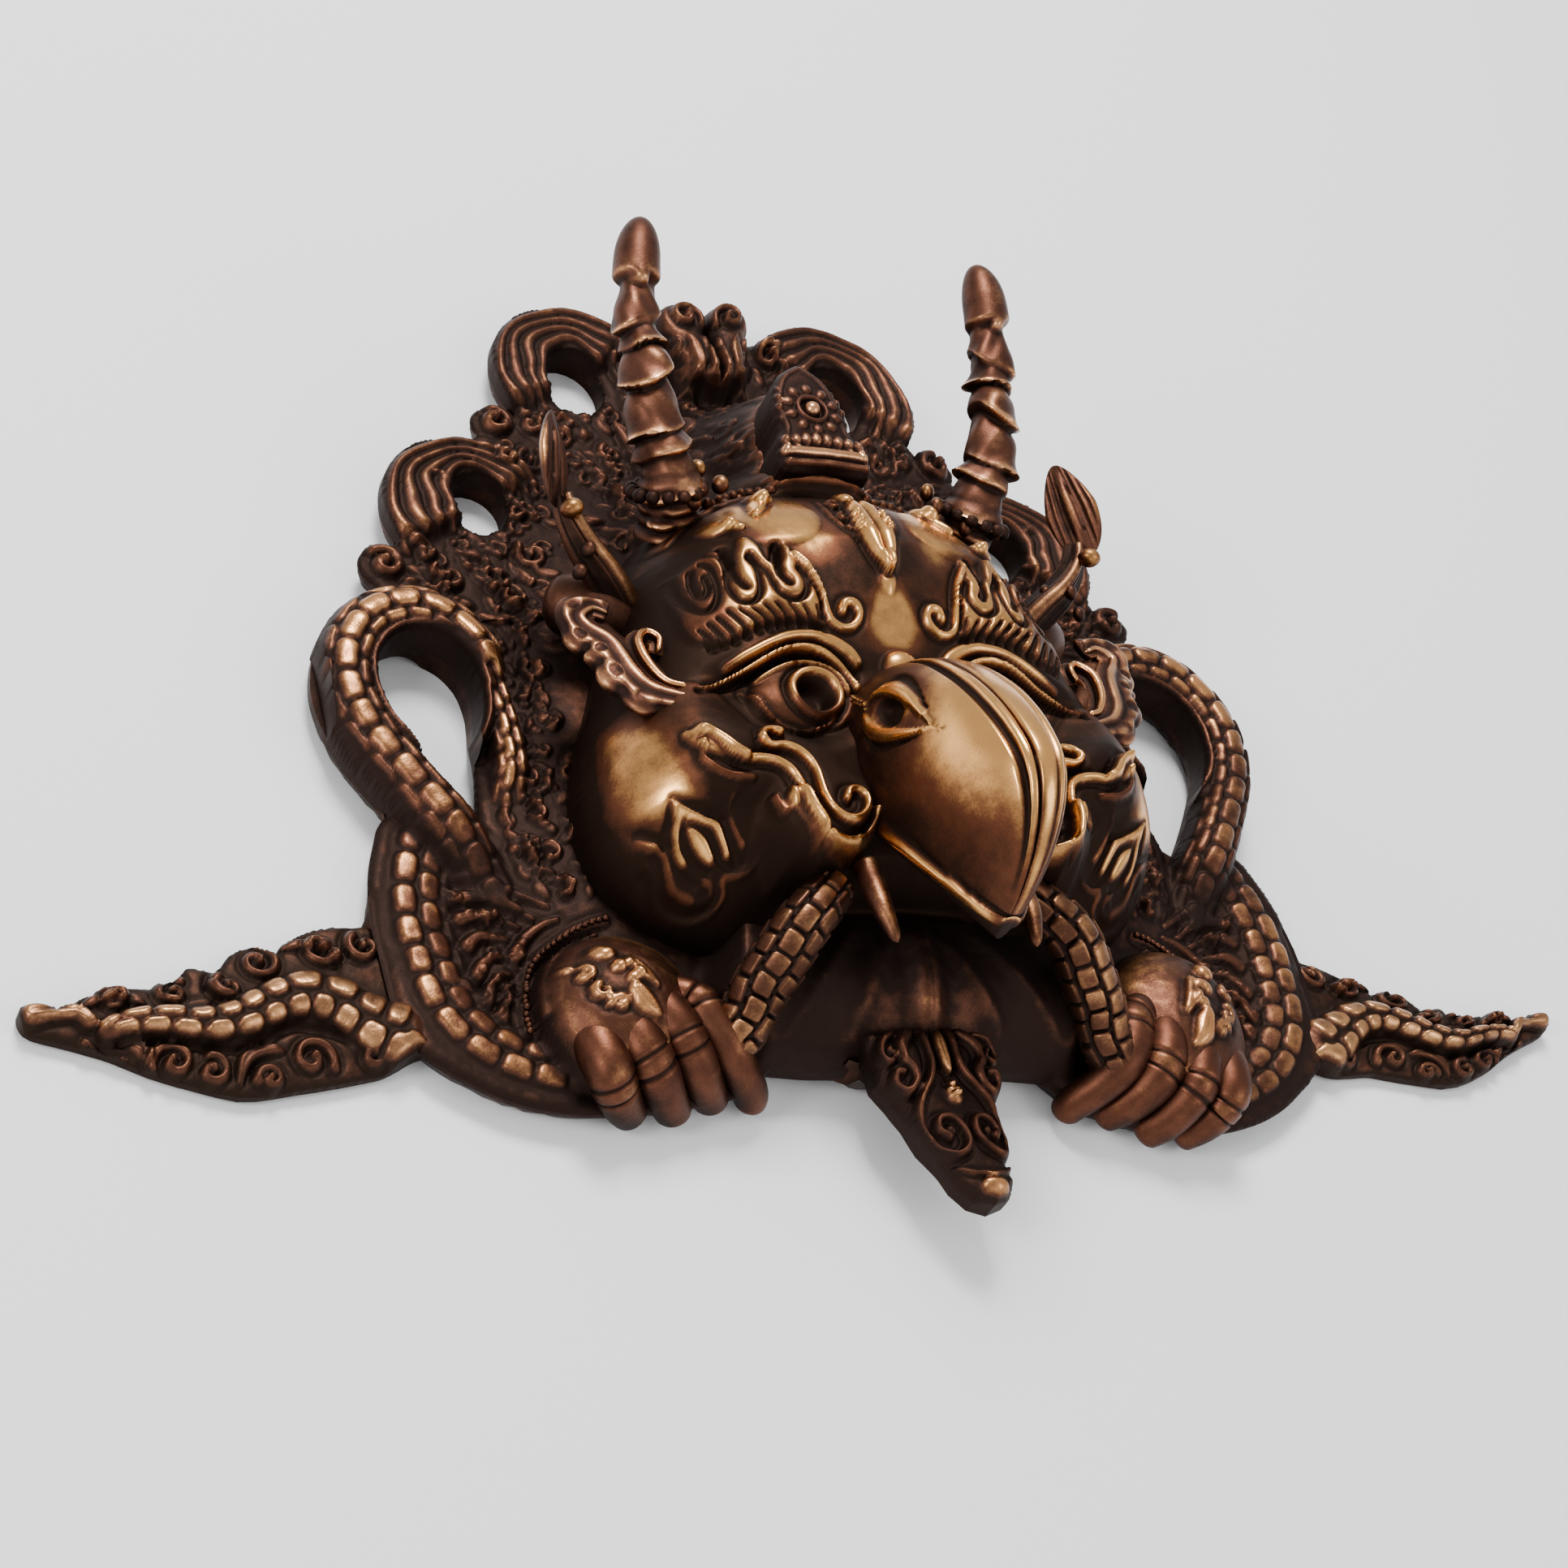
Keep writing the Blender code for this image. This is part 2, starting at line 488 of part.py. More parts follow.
def hand(height, x, y):
    """The back of the hand with its beaded cuff, and four fingers closing round the snake."""
    cx, cy, rx, ry = PALM
    reach = np.hypot((x - cx) / rx, (y - cy) / ry)
    back = PALM_TOP - PALM_SWELL + PALM_SWELL * bump(reach)
    height = blend_max(height, np.where(reach < 1.05, back, 0), 2)
    cuff = np.abs(np.hypot(x - cx, (y - cy) * rx / ry) - CUFF_RADIUS)
    on_cuff = (cuff < CUFF_WIDTH) & (y > cy - CUFF_BELOW) & (x > cx - CUFF_INWARD)
    height = np.where(on_cuff, np.maximum(height, BODY_GROUND + CUFF_RISE * bump(cuff / CUFF_WIDTH)), height)
    for knuckle, tip in zip(FINGER_KNUCKLES, FINGER_TIPS):
        away, _, run, whole = along(np.array([knuckle, tip], float), x, y)
        top = KNUCKLE_TOP + (FINGERTIP_TOP - KNUCKLE_TOP) * (run / whole) ** FINGER_BEND
        finger = top - 6 + FINGER_ROUNDING * bump(away / FINGER_RADIUS)
        height = np.where(away < FINGER_RADIUS, np.maximum(height, finger), height)
    away = nearest(spiral(*HAND_ORNAMENT, 1, 150), x, y)
    return height + HAND_ORNAMENT_RISE * bump(away / HAND_ORNAMENT_HALF_WIDTH)


def face(height, head, x, y):
    """The head, then what is carved on it."""
    levels, tops = np.array(HEAD_TOPS).T
    top = np.interp(y, levels, tops)
    roll = np.clip(-head / HEAD_ROLL_OFF, 0, 1)
    dome = height + (top - height) * np.sqrt(1 - (1 - roll) ** HEAD_FULLNESS)
    height = np.where(head < 0, np.maximum(height, dome), height)

    socket = np.hypot((x - SOCKET[0]) / SOCKET[2], (y - SOCKET[1]) / SOCKET[3])
    height -= SOCKET_DEPTH * smooth_step(1.0, 0.35, socket) * (x > SOCKET_FROM)
    away = nearest(curve_through(BROW_ROUTE), x, y)
    height += BROW_RISE * smooth_step(BROW_WIDTH + 1.5, BROW_WIDTH - 1.5, away)
    for tip_x, tip_y, width in BROW_FLAMES:
        flame = np.array([(tip_x + 1, tip_y - BROW_FLAME_LENGTH), (tip_x, tip_y)], float)
        away, _, run, whole = along(flame, x, y)
        share = width * (1.15 - run / whole)
        height += BROW_FLAME_RISE * smooth_step(share + 0.8, share - 1.2, away)
    eye = np.hypot((x - EYE[0]) / EYE[2], (y - EYE[1]) / EYE[3])
    height += EYE_RISE * bump(eye)
    height += LID_RISE * bump(nearest(curve_through(LID_ROUTE), x, y) / LID_WIDTH)
    height += LOWER_LID_RISE * bump(nearest(curve_through(LOWER_LID_ROUTE), x, y) / LID_WIDTH)
    dome = np.hypot((x - FOREHEAD_DOME[0]) / FOREHEAD_DOME[2], (y - FOREHEAD_DOME[1]) / FOREHEAD_DOME[3])
    height += FOREHEAD_DOME_RISE * bump(dome)
    strip = nearest(np.array(FOREHEAD_STRIP, float), x, y)
    height += FOREHEAD_STRIP_RISE * bump(strip / FOREHEAD_STRIP_WIDTH)
    height += CROWN_BAND_RISE * bump(nearest(curve_through(CROWN_BAND), x, y) / CROWN_BAND_HALF_WIDTH)

    leaf = polygon_distance(full_outline(CROWN_LEAF), x, y)
    stand = CROWN_LEAF_TOP + CROWN_LEAF_SWELL * bump(np.clip(1 + leaf / CROWN_LEAF_ROUNDING, 0, 1))
    height = np.where(leaf < 0, np.maximum(height, stand), height)
    rosette = np.hypot(x - ROSETTE[0], y - ROSETTE[1]) / ROSETTE[2]
    height += ROSETTE_RISE * bump(rosette)

    mouth = polygon_distance(full_outline(MOUTH_OUTLINE), x, y)
    floor = np.maximum(MOUTH_FLOOR, height + MOUTH_SLOPE * mouth)
    return np.where(mouth < 0, np.minimum(height, floor), height)


def underside(x, y):
    """Height of the back of the plate. Below nought it is cut off flat, and it rises towards the rim."""
    inward = np.clip(-outer_edge(x, y) / RIM_RUN, 0, 1)
    lift = RIM_LIFT + (WING_RIM_LIFT - RIM_LIFT) * wing_share(x, y)
    rim = (SUNK + lift) * (1 - inward) ** 1.5
    drop = (SUNK + PENDANT_LIFT) * smooth_step(*PENDANT_FROM, y) * (x < PENDANT_OUTLINE[1][0] + 3)
    return -SUNK + np.maximum(rim, drop)


def uneven(points):
    """The two sides of the mould differ a little, in the wings, the hem, the upper arches and a horn."""
    x, y, z = points.T
    moved = points.copy()
    on_wing = smooth_step(-40, -60, y) * smooth_step(*WING_ROOT, np.abs(x))
    middle = np.interp(np.abs(x), *np.array(WING_MIDDLE).T)
    moved[:, 1] += (np.interp(x, *np.array(WING_HEIGHTS).T) - 1) * (y - middle) * on_wing
    moved[:, 1] += np.interp(x, *np.array(WING_LIFTS).T) * on_wing
    moved[:, 0] -= SHORTER_WING * smooth_step(SHORTER_FROM, WING_TIP, x)
    moved[:, 1] += np.interp(x, *np.array(HEM_LIFTS).T) * smooth_step(HEM_FROM, HEM_TO, y)
    low = smooth_step(CROWN_BELOW + 8, CROWN_BELOW, z)
    moved[:, 1] += np.interp(x, *np.array(CROWN_LIFTS).T) * smooth_step(CROWN_FROM, CROWN_TO, y) * low
    moved[:, 0] += HORN_LEAN * smooth_step(CROWN_FROM - 12, CROWN_TO, y) * (1 - low) * (x > 0)
    moved[:, 0] += PENDANT_LEAN * smooth_step(-122, PENDANT_OUTLINE[-1][1], y)
    return moved


def rim_cells(gx, gy):
    """The grid's points with those near the rim drawn onto it, and which of its cells are metal."""
    edge = mask_edge(np.abs(gx), gy)
    step = 0.05
    slope_x = (mask_edge(np.abs(gx + step), gy) - mask_edge(np.abs(gx - step), gy)) / (2 * step)
    slope_y = (mask_edge(np.abs(gx), gy + step) - mask_edge(np.abs(gx), gy - step)) / (2 * step)
    steep = np.maximum(slope_x**2 + slope_y**2, 0.25)
    inside = edge < 0
    cells = inside[:-1, :-1] | inside[1:, :-1] | inside[:-1, 1:] | inside[1:, 1:]
    shift = np.where((np.abs(edge) < 0.75 * GRID) | ~inside, edge, 0)
    return gx - shift * slope_x / steep, gy - shift * slope_y / steep, cells


def relief_mesh():
    """The plate with all its relief as one closed mesh: a grid whose rim is drawn onto the true edge."""
    xs = np.arange(-WING_TIP - 2 * GRID, WING_TIP + 2.5 * GRID, GRID)
    ys = np.arange(PENDANT_OUTLINE[-1][1] - 2 * GRID, FINIAL_LOBE[1] + FINIAL_LOBE[2] + 2 * GRID, GRID)
    gx, gy = np.meshgrid(xs, ys)
    px, py, cells = rim_cells(gx, gy)
    pz = surface(np.abs(px), py)
    used = np.zeros(gx.shape, bool)
    for rows in (slice(None, -1), slice(1, None)):
        for columns in (slice(None, -1), slice(1, None)):
            used[rows, columns] |= cells
    index = np.full(gx.shape, -1)
    index[used] = np.arange(used.sum())
    top = np.stack([px[used], py[used], pz[used]], axis=1)
    bottom = top.copy()
    bottom[:, 2] = underside(np.abs(px), py)[used]
    r, c = np.nonzero(cells)
    quads = np.stack([index[r, c], index[r, c + 1], index[r + 1, c + 1], index[r + 1, c]], axis=1)
    count = len(top)
    faces = [tuple(q) for q in quads]
    faces += [tuple(q[::-1] + count) for q in quads]
    ends = np.concatenate([quads[:, [0, 1]], quads[:, [1, 2]], quads[:, [2, 3]], quads[:, [3, 0]]])
    held = {(a, b) for a, b in ends.tolist()}
    faces += [(a, a + count, b + count, b) for a, b in sorted(held) if (b, a) not in held]
    return np.vstack([top, bottom]), faces


def swept(route, radii, sides=14, per_span=5, rib=None):
    """A round body along a route of x, y, height, closed at both ends. rib changes the radius."""
    given = np.column_stack([np.array(route, float), np.array(radii, float)])
    line = curve_through(given, per_span)
    points, faces = [], []
    for i, (*centre, radius) in enumerate(line):
        ahead = line[min(i + 1, len(line) - 1), :3] - line[max(i - 1, 0), :3]
        ahead = Vector(ahead).normalized()
        across = ahead.cross(Vector((0, 0, 1))).normalized()
        lift = across.cross(ahead)
        share = i / (len(line) - 1)
        wide = radius + (rib(share) if rib else 0)
        for k in range(sides):
            turn = 2 * math.pi * k / sides
            spoke = across * math.cos(turn) + lift * math.sin(turn)
            points.append(tuple(Vector(centre) + spoke * wide))
    for i in range(len(line) - 1):
        for k in range(sides):
            a, b = i * sides + k, i * sides + (k + 1) % sides
            faces.append((a, a + sides, b + sides, b))
    last = (len(line) - 1) * sides
    faces.append(tuple(range(sides)))
    faces.append(tuple(last + k for k in reversed(range(sides))))
    return np.array(points), faces


def ball(x, y, height, radius):
    made = bmesh.new()
    bmesh.ops.create_icosphere(made, subdivisions=2, radius=radius)
    points = np.array([v.co[:] for v in made.verts]) + (x, y, height)
    faces = [tuple(v.index for v in f.verts) for f in made.faces]
    made.free()
    return points, faces


def beak():
    """A tall arch in section, hooked at its tip, with two raised bands down each side."""
    stations = curve_through(BEAK_STATIONS, 4)
    points, faces = [], []
    for y, ridge, margin, half in stations:
        for k in range(BEAK_SIDES):
            turn = 2 * math.pi * k / BEAK_SIDES
            across, up = math.cos(turn), math.sin(turn)
            wide = half * abs(across) ** (2 / BEAK_POWER) * (1 if across > 0 else -1)
            if up >= 0:
                level = up ** (2 / BEAK_POWER)
                band = max(0, 1 - min(abs(abs(across) - at) for at in BEAK_BAND_AT) / 0.09)
                height = margin + (ridge - margin + BEAK_BAND * band * half / 20) * level
            else:
                height = margin + 5 * up
            points.append((wide, y, height))
    for i in range(len(stations) - 1):
        for k in range(BEAK_SIDES):
            a, b = i * BEAK_SIDES + k, i * BEAK_SIDES + (k + 1) % BEAK_SIDES
            faces.append((a, b, b + BEAK_SIDES, a + BEAK_SIDES))
    last = (len(stations) - 1) * BEAK_SIDES
    faces.append(tuple(reversed(range(BEAK_SIDES))))
    faces.append(tuple(last + k for k in range(BEAK_SIDES)))
    return np.array(points), faces


def leaf_ear():
    """An upright leaf, turned to face inwards, hollow in front."""
    facing = Vector(LEAF_EAR_FACING).normalized()
    across = Vector((0, 1, 0)).cross(facing).normalized()
    lengthwise = facing.cross(across)
    made = bmesh.new()
    bmesh.ops.create_icosphere(made, subdivisions=3, radius=1.0)
    points = []
    for vert in made.verts:
        u, v, w = vert.co
        taper = 1 - LEAF_EAR_TAPER * max(v, 0)
        hollow = LEAF_EAR_HOLLOW * max(w, 0) * (1 - u * u)
        place = across * u * LEAF_EAR_HALF[0] * taper + lengthwise * v * LEAF_EAR_HALF[1]
        points.append(tuple(Vector(LEAF_EAR) + place + facing * (w - hollow) * LEAF_EAR_HALF[2]))
    faces = [tuple(v.index for v in f.verts) for f in made.faces]
    made.free()
    return np.array(points), faces


def mirrored(shape):
    points, faces = shape
    return points * (-1, 1, 1), [tuple(reversed(f)) for f in faces]


def free_forms():
    """Everything that stands clear of the relief or overhangs it."""
    def horn_rib(share):
        if share > HORN_RIBBED_PART:
            return 0.0
        return HORN_RIB_RELIEF * math.cos(2 * math.pi * HORN_RIBS * share / HORN_RIBBED_PART)

    sides = [
        swept(HORN_ROUTE, HORN_RADIUS, 16, 12, horn_rib),
        swept(EAR_ROUTE, EAR_RADIUS),
        swept(MOUSTACHE_ROUTE, MOUSTACHE_RADIUS),
        swept(LEAF_EAR_STEM, LEAF_EAR_STEM_RADIUS),
        swept(LEAF_EAR_BRACKET, LEAF_EAR_BRACKET_RADIUS),
        leaf_ear(),
        swept(HELD_SNAKE_ROUTE, HELD_SNAKE_RADIUS),
        swept(TUSK, (TUSK_RADIUS, TUSK_RADIUS * 0.8, TUSK_RADIUS * 0.3)),
        ball(*NOSTRIL),
    ]
    sides += [ball(*bead) for bead in CROWN_BEADS + (EAR_BALL,)]
    shapes = [beak(), ball(*NOSE_KNOB)]
    for shape in sides:
        shapes += [shape, mirrored(shape)]
    return shapes


def to_object(name, shape):
    points, faces = shape
    mesh = bpy.data.meshes.new(name)
    mesh.from_pydata((uneven(points) * MM).tolist(), [], [[int(i) for i in f] for f in faces])
    mesh.update()
    made = bmesh.new()
    made.from_mesh(mesh)
    bmesh.ops.recalc_face_normals(made, faces=made.faces)
    made.to_mesh(mesh)
    made.free()
    obj = bpy.data.objects.new(name, mesh)
    bpy.context.scene.collection.objects.link(obj)
    return obj


def joined(objects, name):
    """One mesh that holds all the given objects' meshes."""
    whole = bmesh.new()
    for obj in objects:
        whole.from_mesh(obj.data)
        bpy.data.objects.remove(obj)
    mesh = bpy.data.meshes.new(name)
    whole.to_mesh(mesh)
    whole.free()
    obj = bpy.data.objects.new(name, mesh)
    bpy.context.scene.collection.objects.link(obj)
    return obj


def evaluated_mesh(obj):
    bpy.context.view_layer.update()
    graph = bpy.context.evaluated_depsgraph_get()
    return bpy.data.meshes.new_from_object(obj.evaluated_get(graph))


def cast_in_one(obj):
    """Fuses the shapes into one skin, thins it out, and cuts it off flat at the back."""
    fuse = obj.modifiers.new("Fuse", "REMESH")
    fuse.mode = "VOXEL"
    fuse.voxel_size = VOXEL * MM
    obj.data = evaluated_mesh(obj)
    obj.modifiers.clear()
    drop_loose_pieces(obj.data)
    faces = sum(len(p.vertices) - 2 for p in obj.data.polygons)
    thin = obj.modifiers.new("Thin", "DECIMATE")
    thin.ratio = MOST_TRIANGLES / faces
    obj.data = evaluated_mesh(obj)
    obj.modifiers.clear()

    cutter_mesh = bpy.data.meshes.new("back_cutter")
    made = bmesh.new()
    bmesh.ops.create_cube(made, size=1.0)
    bmesh.ops.scale(made, vec=Vector(CUTTER_SIZE) * MM, verts=made.verts)
    bmesh.ops.translate(made, vec=(0, 0, -CUTTER_SIZE[2] / 2 * MM), verts=made.verts)
    made.to_mesh(cutter_mesh)
    made.free()
    cutter = bpy.data.objects.new("back_cutter", cutter_mesh)
    bpy.context.scene.collection.objects.link(cutter)
    cutter.hide_render = True
    cutter.display_type = "WIRE"
    flat = obj.modifiers.new("Flat back", "BOOLEAN")
    flat.object = cutter
    flat.operation = "DIFFERENCE"
    obj.data = evaluated_mesh(obj)
    obj.modifiers.clear()
    bpy.data.objects.remove(cutter)
    drop_loose_pieces(obj.data)


def drop_loose_pieces(mesh):
    """Keeps the largest connected piece."""
    made = bmesh.new()
    made.from_mesh(mesh)
    left = set(made.verts)
    pieces = []
    while left:
        front = [left.pop()]
        piece = set(front)
        while front:
            vert = front.pop()
            for edge in vert.link_edges:
                other = edge.other_vert(vert)
                if other in left:
                    left.remove(other)
                    piece.add(other)
                    front.append(other)
        pieces.append(piece)
    keep = max(pieces, key=len)
    bmesh.ops.delete(made, geom=[v for v in made.verts if v not in keep], context="VERTS")
    made.to_mesh(mesh)
    made.free()


def centre_on_box(mesh):
    points = np.array([v.co[:] for v in mesh.vertices])
    low, high = points.min(axis=0), points.max(axis=0)
    shift = -(low + high) / 2
    shift[2] = -low[2]
    made = bmesh.new()
    made.from_mesh(mesh)
    bmesh.ops.translate(made, vec=Vector(shift), verts=made.verts)
    bmesh.ops.triangulate(made, faces=made.faces)
    made.to_mesh(mesh)
    made.free()
    print("centred by", np.round(shift / MM, 3), "box", np.round((high - low) / MM, 2))


def metal():
    material = bpy.data.materials.new("patinated_bronze")
    material.use_nodes = True
    shader = material.node_tree.nodes["Principled BSDF"]
    shader.inputs["Base Color"].default_value = BRONZE
    shader.inputs["Metallic"].default_value = 1.0
    shader.inputs["Roughness"].default_value = BRONZE_ROUGHNESS
    return material


def main():
    for obj in list(bpy.data.objects):
        bpy.data.objects.remove(obj)
    shapes = [to_object("form", shape) for shape in [relief_mesh()] + free_forms()]
    mask = joined(shapes, "garuda_mask")
    cast_in_one(mask)
    centre_on_box(mask.data)
    mask.data.materials.append(metal())
    mask.data.shade_smooth()
    mask.data.set_sharp_from_angle(angle=math.radians(SHARP_ANGLE))


main()
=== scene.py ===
"""The looks of a cast bronze garuda mask that lies on its flat back.

Places and sizes below are in millimetres in the frame of the mould: +X right, +Y the top of the head,
+Z out of the face. Only the right half is described. Each piece is mirrored, made uneven as the mould
is, shifted to the frame of the solid and turned into metres once, in placed().
"""

import math

import bpy
import numpy as np
from mathutils import Matrix, Vector
from mathutils.geometry import delaunay_2d_cdt


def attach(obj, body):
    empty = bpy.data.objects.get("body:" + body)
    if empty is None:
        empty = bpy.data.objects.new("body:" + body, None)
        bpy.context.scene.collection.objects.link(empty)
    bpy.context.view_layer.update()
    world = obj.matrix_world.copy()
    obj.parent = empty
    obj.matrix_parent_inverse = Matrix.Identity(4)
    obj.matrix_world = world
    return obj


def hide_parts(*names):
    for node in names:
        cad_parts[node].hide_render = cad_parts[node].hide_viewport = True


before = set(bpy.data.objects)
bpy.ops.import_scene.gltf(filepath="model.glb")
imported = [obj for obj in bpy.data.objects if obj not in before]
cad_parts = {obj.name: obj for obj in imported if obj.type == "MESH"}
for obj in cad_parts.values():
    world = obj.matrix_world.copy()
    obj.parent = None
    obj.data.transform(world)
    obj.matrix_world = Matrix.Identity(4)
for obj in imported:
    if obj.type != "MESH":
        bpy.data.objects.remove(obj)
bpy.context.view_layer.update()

MM = 0.001
SHIFT = (2.404, -6.994, 0.0)

# Fineness of the grids
BODY_STEP = 0.6
HEAD_STEP = 0.52
WING_STEP = 0.5
BACK_STEP = 2.4

# Heights above the flat back
PLATE_TOP = 9.0
WING_TOP = 5.0
BODY_GROUND = 15.0
BODY_GROUND_REACH = 26.0
CHEST_OUTLINE = ((0, -40), (46, -60), (52, -88), (44, -103), (0, -104))
CHEST_GROUND = 21.0
FILLET = 4.0
ROUNDED_RIM = 3.0
RIM_DROP = 2.1
WING_RIM_DROP = 1.9
BACK_DRAWN_IN = 0.7
SHARP_ANGLE = 80.0

# Where the plate's two pieces meet, and how far the plate runs on inside the head
PLATE_SPLIT = 37.0
HIDDEN_BY_HEAD = 9

# Snakes
SNAKE_RADIUS = 8.4
SNAKE_HEIGHT = 12.0
COIL_RADIUS = 9.0
COIL_TOP = 11.5
COIL_BAND = 2.0
INNER_STRAND_RADIUS = 5.0
INNER_STRAND_TOP = 18.0
COLLAR_WIDTH = 3.0
COLLAR_TOP = 19.5
SCALE_RELIEF = 1.5
LOOP_ROUTE = ((98, -30), (95, -12), (95.5, 6), (98, 20), (104.5, 30.5), (114, 34.5), (125.5, 31),
              (133.5, 21), (136.5, 8), (134, -5), (128, -16.5), (120.5, -28.5), (112, -41), (105, -54))
INNER_STRAND_RUN = 52.0
STRAND_CHANGE = 12.0
COIL_ROUTE = ((124, -38), (128, -50), (129.5, -62), (128.5, -73), (127, -84), (122, -94),
              (114, -101.5), (103, -106.5), (90, -108.5), (76, -108.5))
LOOP_HOLE = ((99.5, 10), (101, 18.5), (106, 25), (114, 27), (121.5, 24), (127, 16.5),
             (128.3, 7), (126, -3), (119.5, -10.5), (111, -13), (105, -8), (101, 0))

# Arches, finial and pendant
UPPER_ARCH = (42.5, 131.5, 27.0)
UPPER_HOLE = (43.5, 131.0, 9.5, 11.5)
LOWER_ARCH = (87.0, 75.0, 26.5)
LOWER_HOLE = (84.0, 79.5, 8.6, 9.6)
ARCH_TOP = 14.0
FLUTES = 4
FLUTE_DEPTH = 2.2
FLUTED_FROM = (-42.0, -22.0)
FLUTED_TO = (132.0, 155.0)
SCROLL_BETWEEN = (73.0, 111.5, 6.5)
SIDE_CURL = (116.5, 54.5, 6.9)
FINIAL_LOBE = (7.6, 151.5, 8.2)
FINIAL_STEM = ((0, 128), (9, 130), (15, 150), (0, 152))
FINIAL_TOP = 24.0
PENDANT_OUTLINE = ((0, -98), (19, -100), (18.5, -115), (15.5, -120), (12.6, -126), (11.8, -133),
                   (9.2, -139), (8.4, -144), (5.2, -148.4), (0, -150.2))
PENDANT_TOP = 24.0
PENDANT_EDGE_DROP = 4.5

# Wings
WING_OUTLINE = ((128, -60), (143, -58.5), (150, -58.8), (157, -60.6), (163, -64), (166, -67.2),
                (172, -65.2), (177, -67.6), (181, -72), (188, -71.2), (192, -75.4), (200, -76.4),
                (208, -76), (215, -78.6), (221.5, -82.6), (226, -79.2), (229.6, -81), (230, -84.6),
                (227.5, -88), (218, -91.4), (210, -94.6), (201, -99.6), (194, -102.6),
                (180, -107.2), (166, -105.6), (149, -102.6), (134, -98.6), (126, -92))
TAIL_ROUTE = ((138, -93), (145, -88.5), (153, -82.5), (161, -80.5), (170, -83.5), (178, -87.5),
              (187, -89), (196, -87.5), (204, -87.5), (210, -89))
TAIL_WIDTH = (8.6, 3.2)
TAIL_TOP = 9.5
WING_TIP = 230.0
WING_ROOT = (134.0, 145.0)
WING_SHOULDER = (-50.0, -56.0)

# Unevenness of the mould, as values at places across the mask
WING_MIDDLE = ((150, -82.0), (190, -89.0), (230, -85.0))
WING_HEIGHTS = ((135, 1.0), (155, 0.74), (205, 0.72), (230, 0.9))
WING_LIFTS = ((-230, -5.5), (-185, -2.5), (-140, -2.0), (140, -2.0), (185, -2.5), (230, 1.0))
SHORTER_WING = 5.0
SHORTER_FROM = 190.0
HEM_LIFTS = ((-140, 0.0), (-75, 3.6), (-30, 0.0), (30, 0.0), (75, -3.6), (140, 0.0))
HEM_FROM = -70.0
HEM_TO = -108.0
CROWN_LIFTS = ((0, 0.0), (22, 5.0), (60, 5.0), (80, 0.0))
CROWN_FROM = 96.0
CROWN_TO = 130.0
CROWN_BELOW = 40.0
HORN_LEAN = 4.0
PENDANT_LEAN = 5.0

# Underside of the rim, and the level where each fine piece ends inside the back plate
RIM_LIFT = 6.5
WING_RIM_LIFT = 1.2
RIM_RUN = 8.0
PENDANT_LIFT = 13.5
PENDANT_FROM = (-103.0, -110.0)
SUNK = 5.0
BODY_FLOOR = 7.0
WING_FLOOR = 1.6
PENDANT_FLOOR = 14.2
HEAD_FLOOR = 8.0

# Torso plate and head
TORSO_OUTLINE = ((0, 146), (16, 151), (22, 152), (34, 146), (60, 120), (80, 106), (84, 92), (104, 66),
                 (117.4, 60), (121, 52), (119, 44), (97, 30), (94, 0), (98, -24), (106, -34),
                 (126, -34), (132, -39), (137.5, -49), (140.5, -58.6), (139.5, -84), (134.5, -99.5),
                 (127, -106), (118, -112), (105, -117), (88, -119.3), (72, -118.5), (60, -116),
                 (50, -112.5), (42, -105.5), (0, -105.5))
HEAD_OUTLINE = ((0, 74), (24, 71), (41, 62), (54, 48), (62, 34), (66, 18), (72, 2), (80, -16),
                (84.5, -36), (82, -54), (70, -68), (52, -76), (30, -79), (0, -79))
HEAD_TOPS = ((-79, 36.0), (-64, 47.0), (-48, 55.0), (-30, 58.0), (-12, 58.0), (8, 62.0),
             (28, 62.5), (46, 58.5), (60, 53.0), (74, 48.0))
HEAD_ROLL_OFF = 40.0
HEAD_FULLNESS = 2.3
CROWN_SLOPE = ((0, 62), (30, 58), (44, 66), (30, 88), (16, 112), (0, 118))
CROWN_SLOPE_TOP = 27.0
MOUTH_OUTLINE = ((0, -60), (20, -62), (30, -76), (24, -92), (0, -97))
MOUTH_FLOOR = 26.0
MOUTH_SLOPE = 2.6

# Crown leaf above the forehead
CROWN_LEAF = ((0, 62), (13, 61), (13.5, 70), (11, 76), (11.5, 84), (9, 92), (6, 97), (0, 101.5))

# The photograph's viewpoint, as fitted to the mirrored pairs of the mask's two sides
CAMERA_PLACE = (-0.416873, -0.495240, 0.627523)
CAMERA_AZIMUTH = -0.5815084
CAMERA_ELEVATION = -0.5712086
CAMERA_ROLL = -0.2872347
CAMERA_LENS = 73.958
SENSOR = 36.0


def curve_through(points, per_span=8):
    """Catmull-Rom points through the given ones, which may have two or three coordinates or more."""
    given = np.array(points, float)
    padded = np.vstack([2 * given[0] - given[1], given, 2 * given[-1] - given[-2]])
    found = []
    for i in range(1, len(padded) - 2):
        a, b, c, d = padded[i - 1 : i + 3]
        t = (np.arange(per_span) / per_span)[:, None]
        found.append(0.5 * (2 * b + (c - a) * t + (2 * a - 5 * b + 4 * c - d) * t**2
                            + (3 * b - a - 3 * c + d) * t**3))
    return np.vstack(found + [given[-1:]])


def spiral(x, y, radius, way, start, turns):
    """A scroll's line, from its rim to its centre."""
    t = np.linspace(0, 1, 22)
    angle = math.radians(start) + way * turns * 2 * math.pi * t
    reach = radius * (1 - 0.86 * t)
    return np.stack([x + reach * np.cos(angle), y + reach * np.sin(angle)], axis=1)


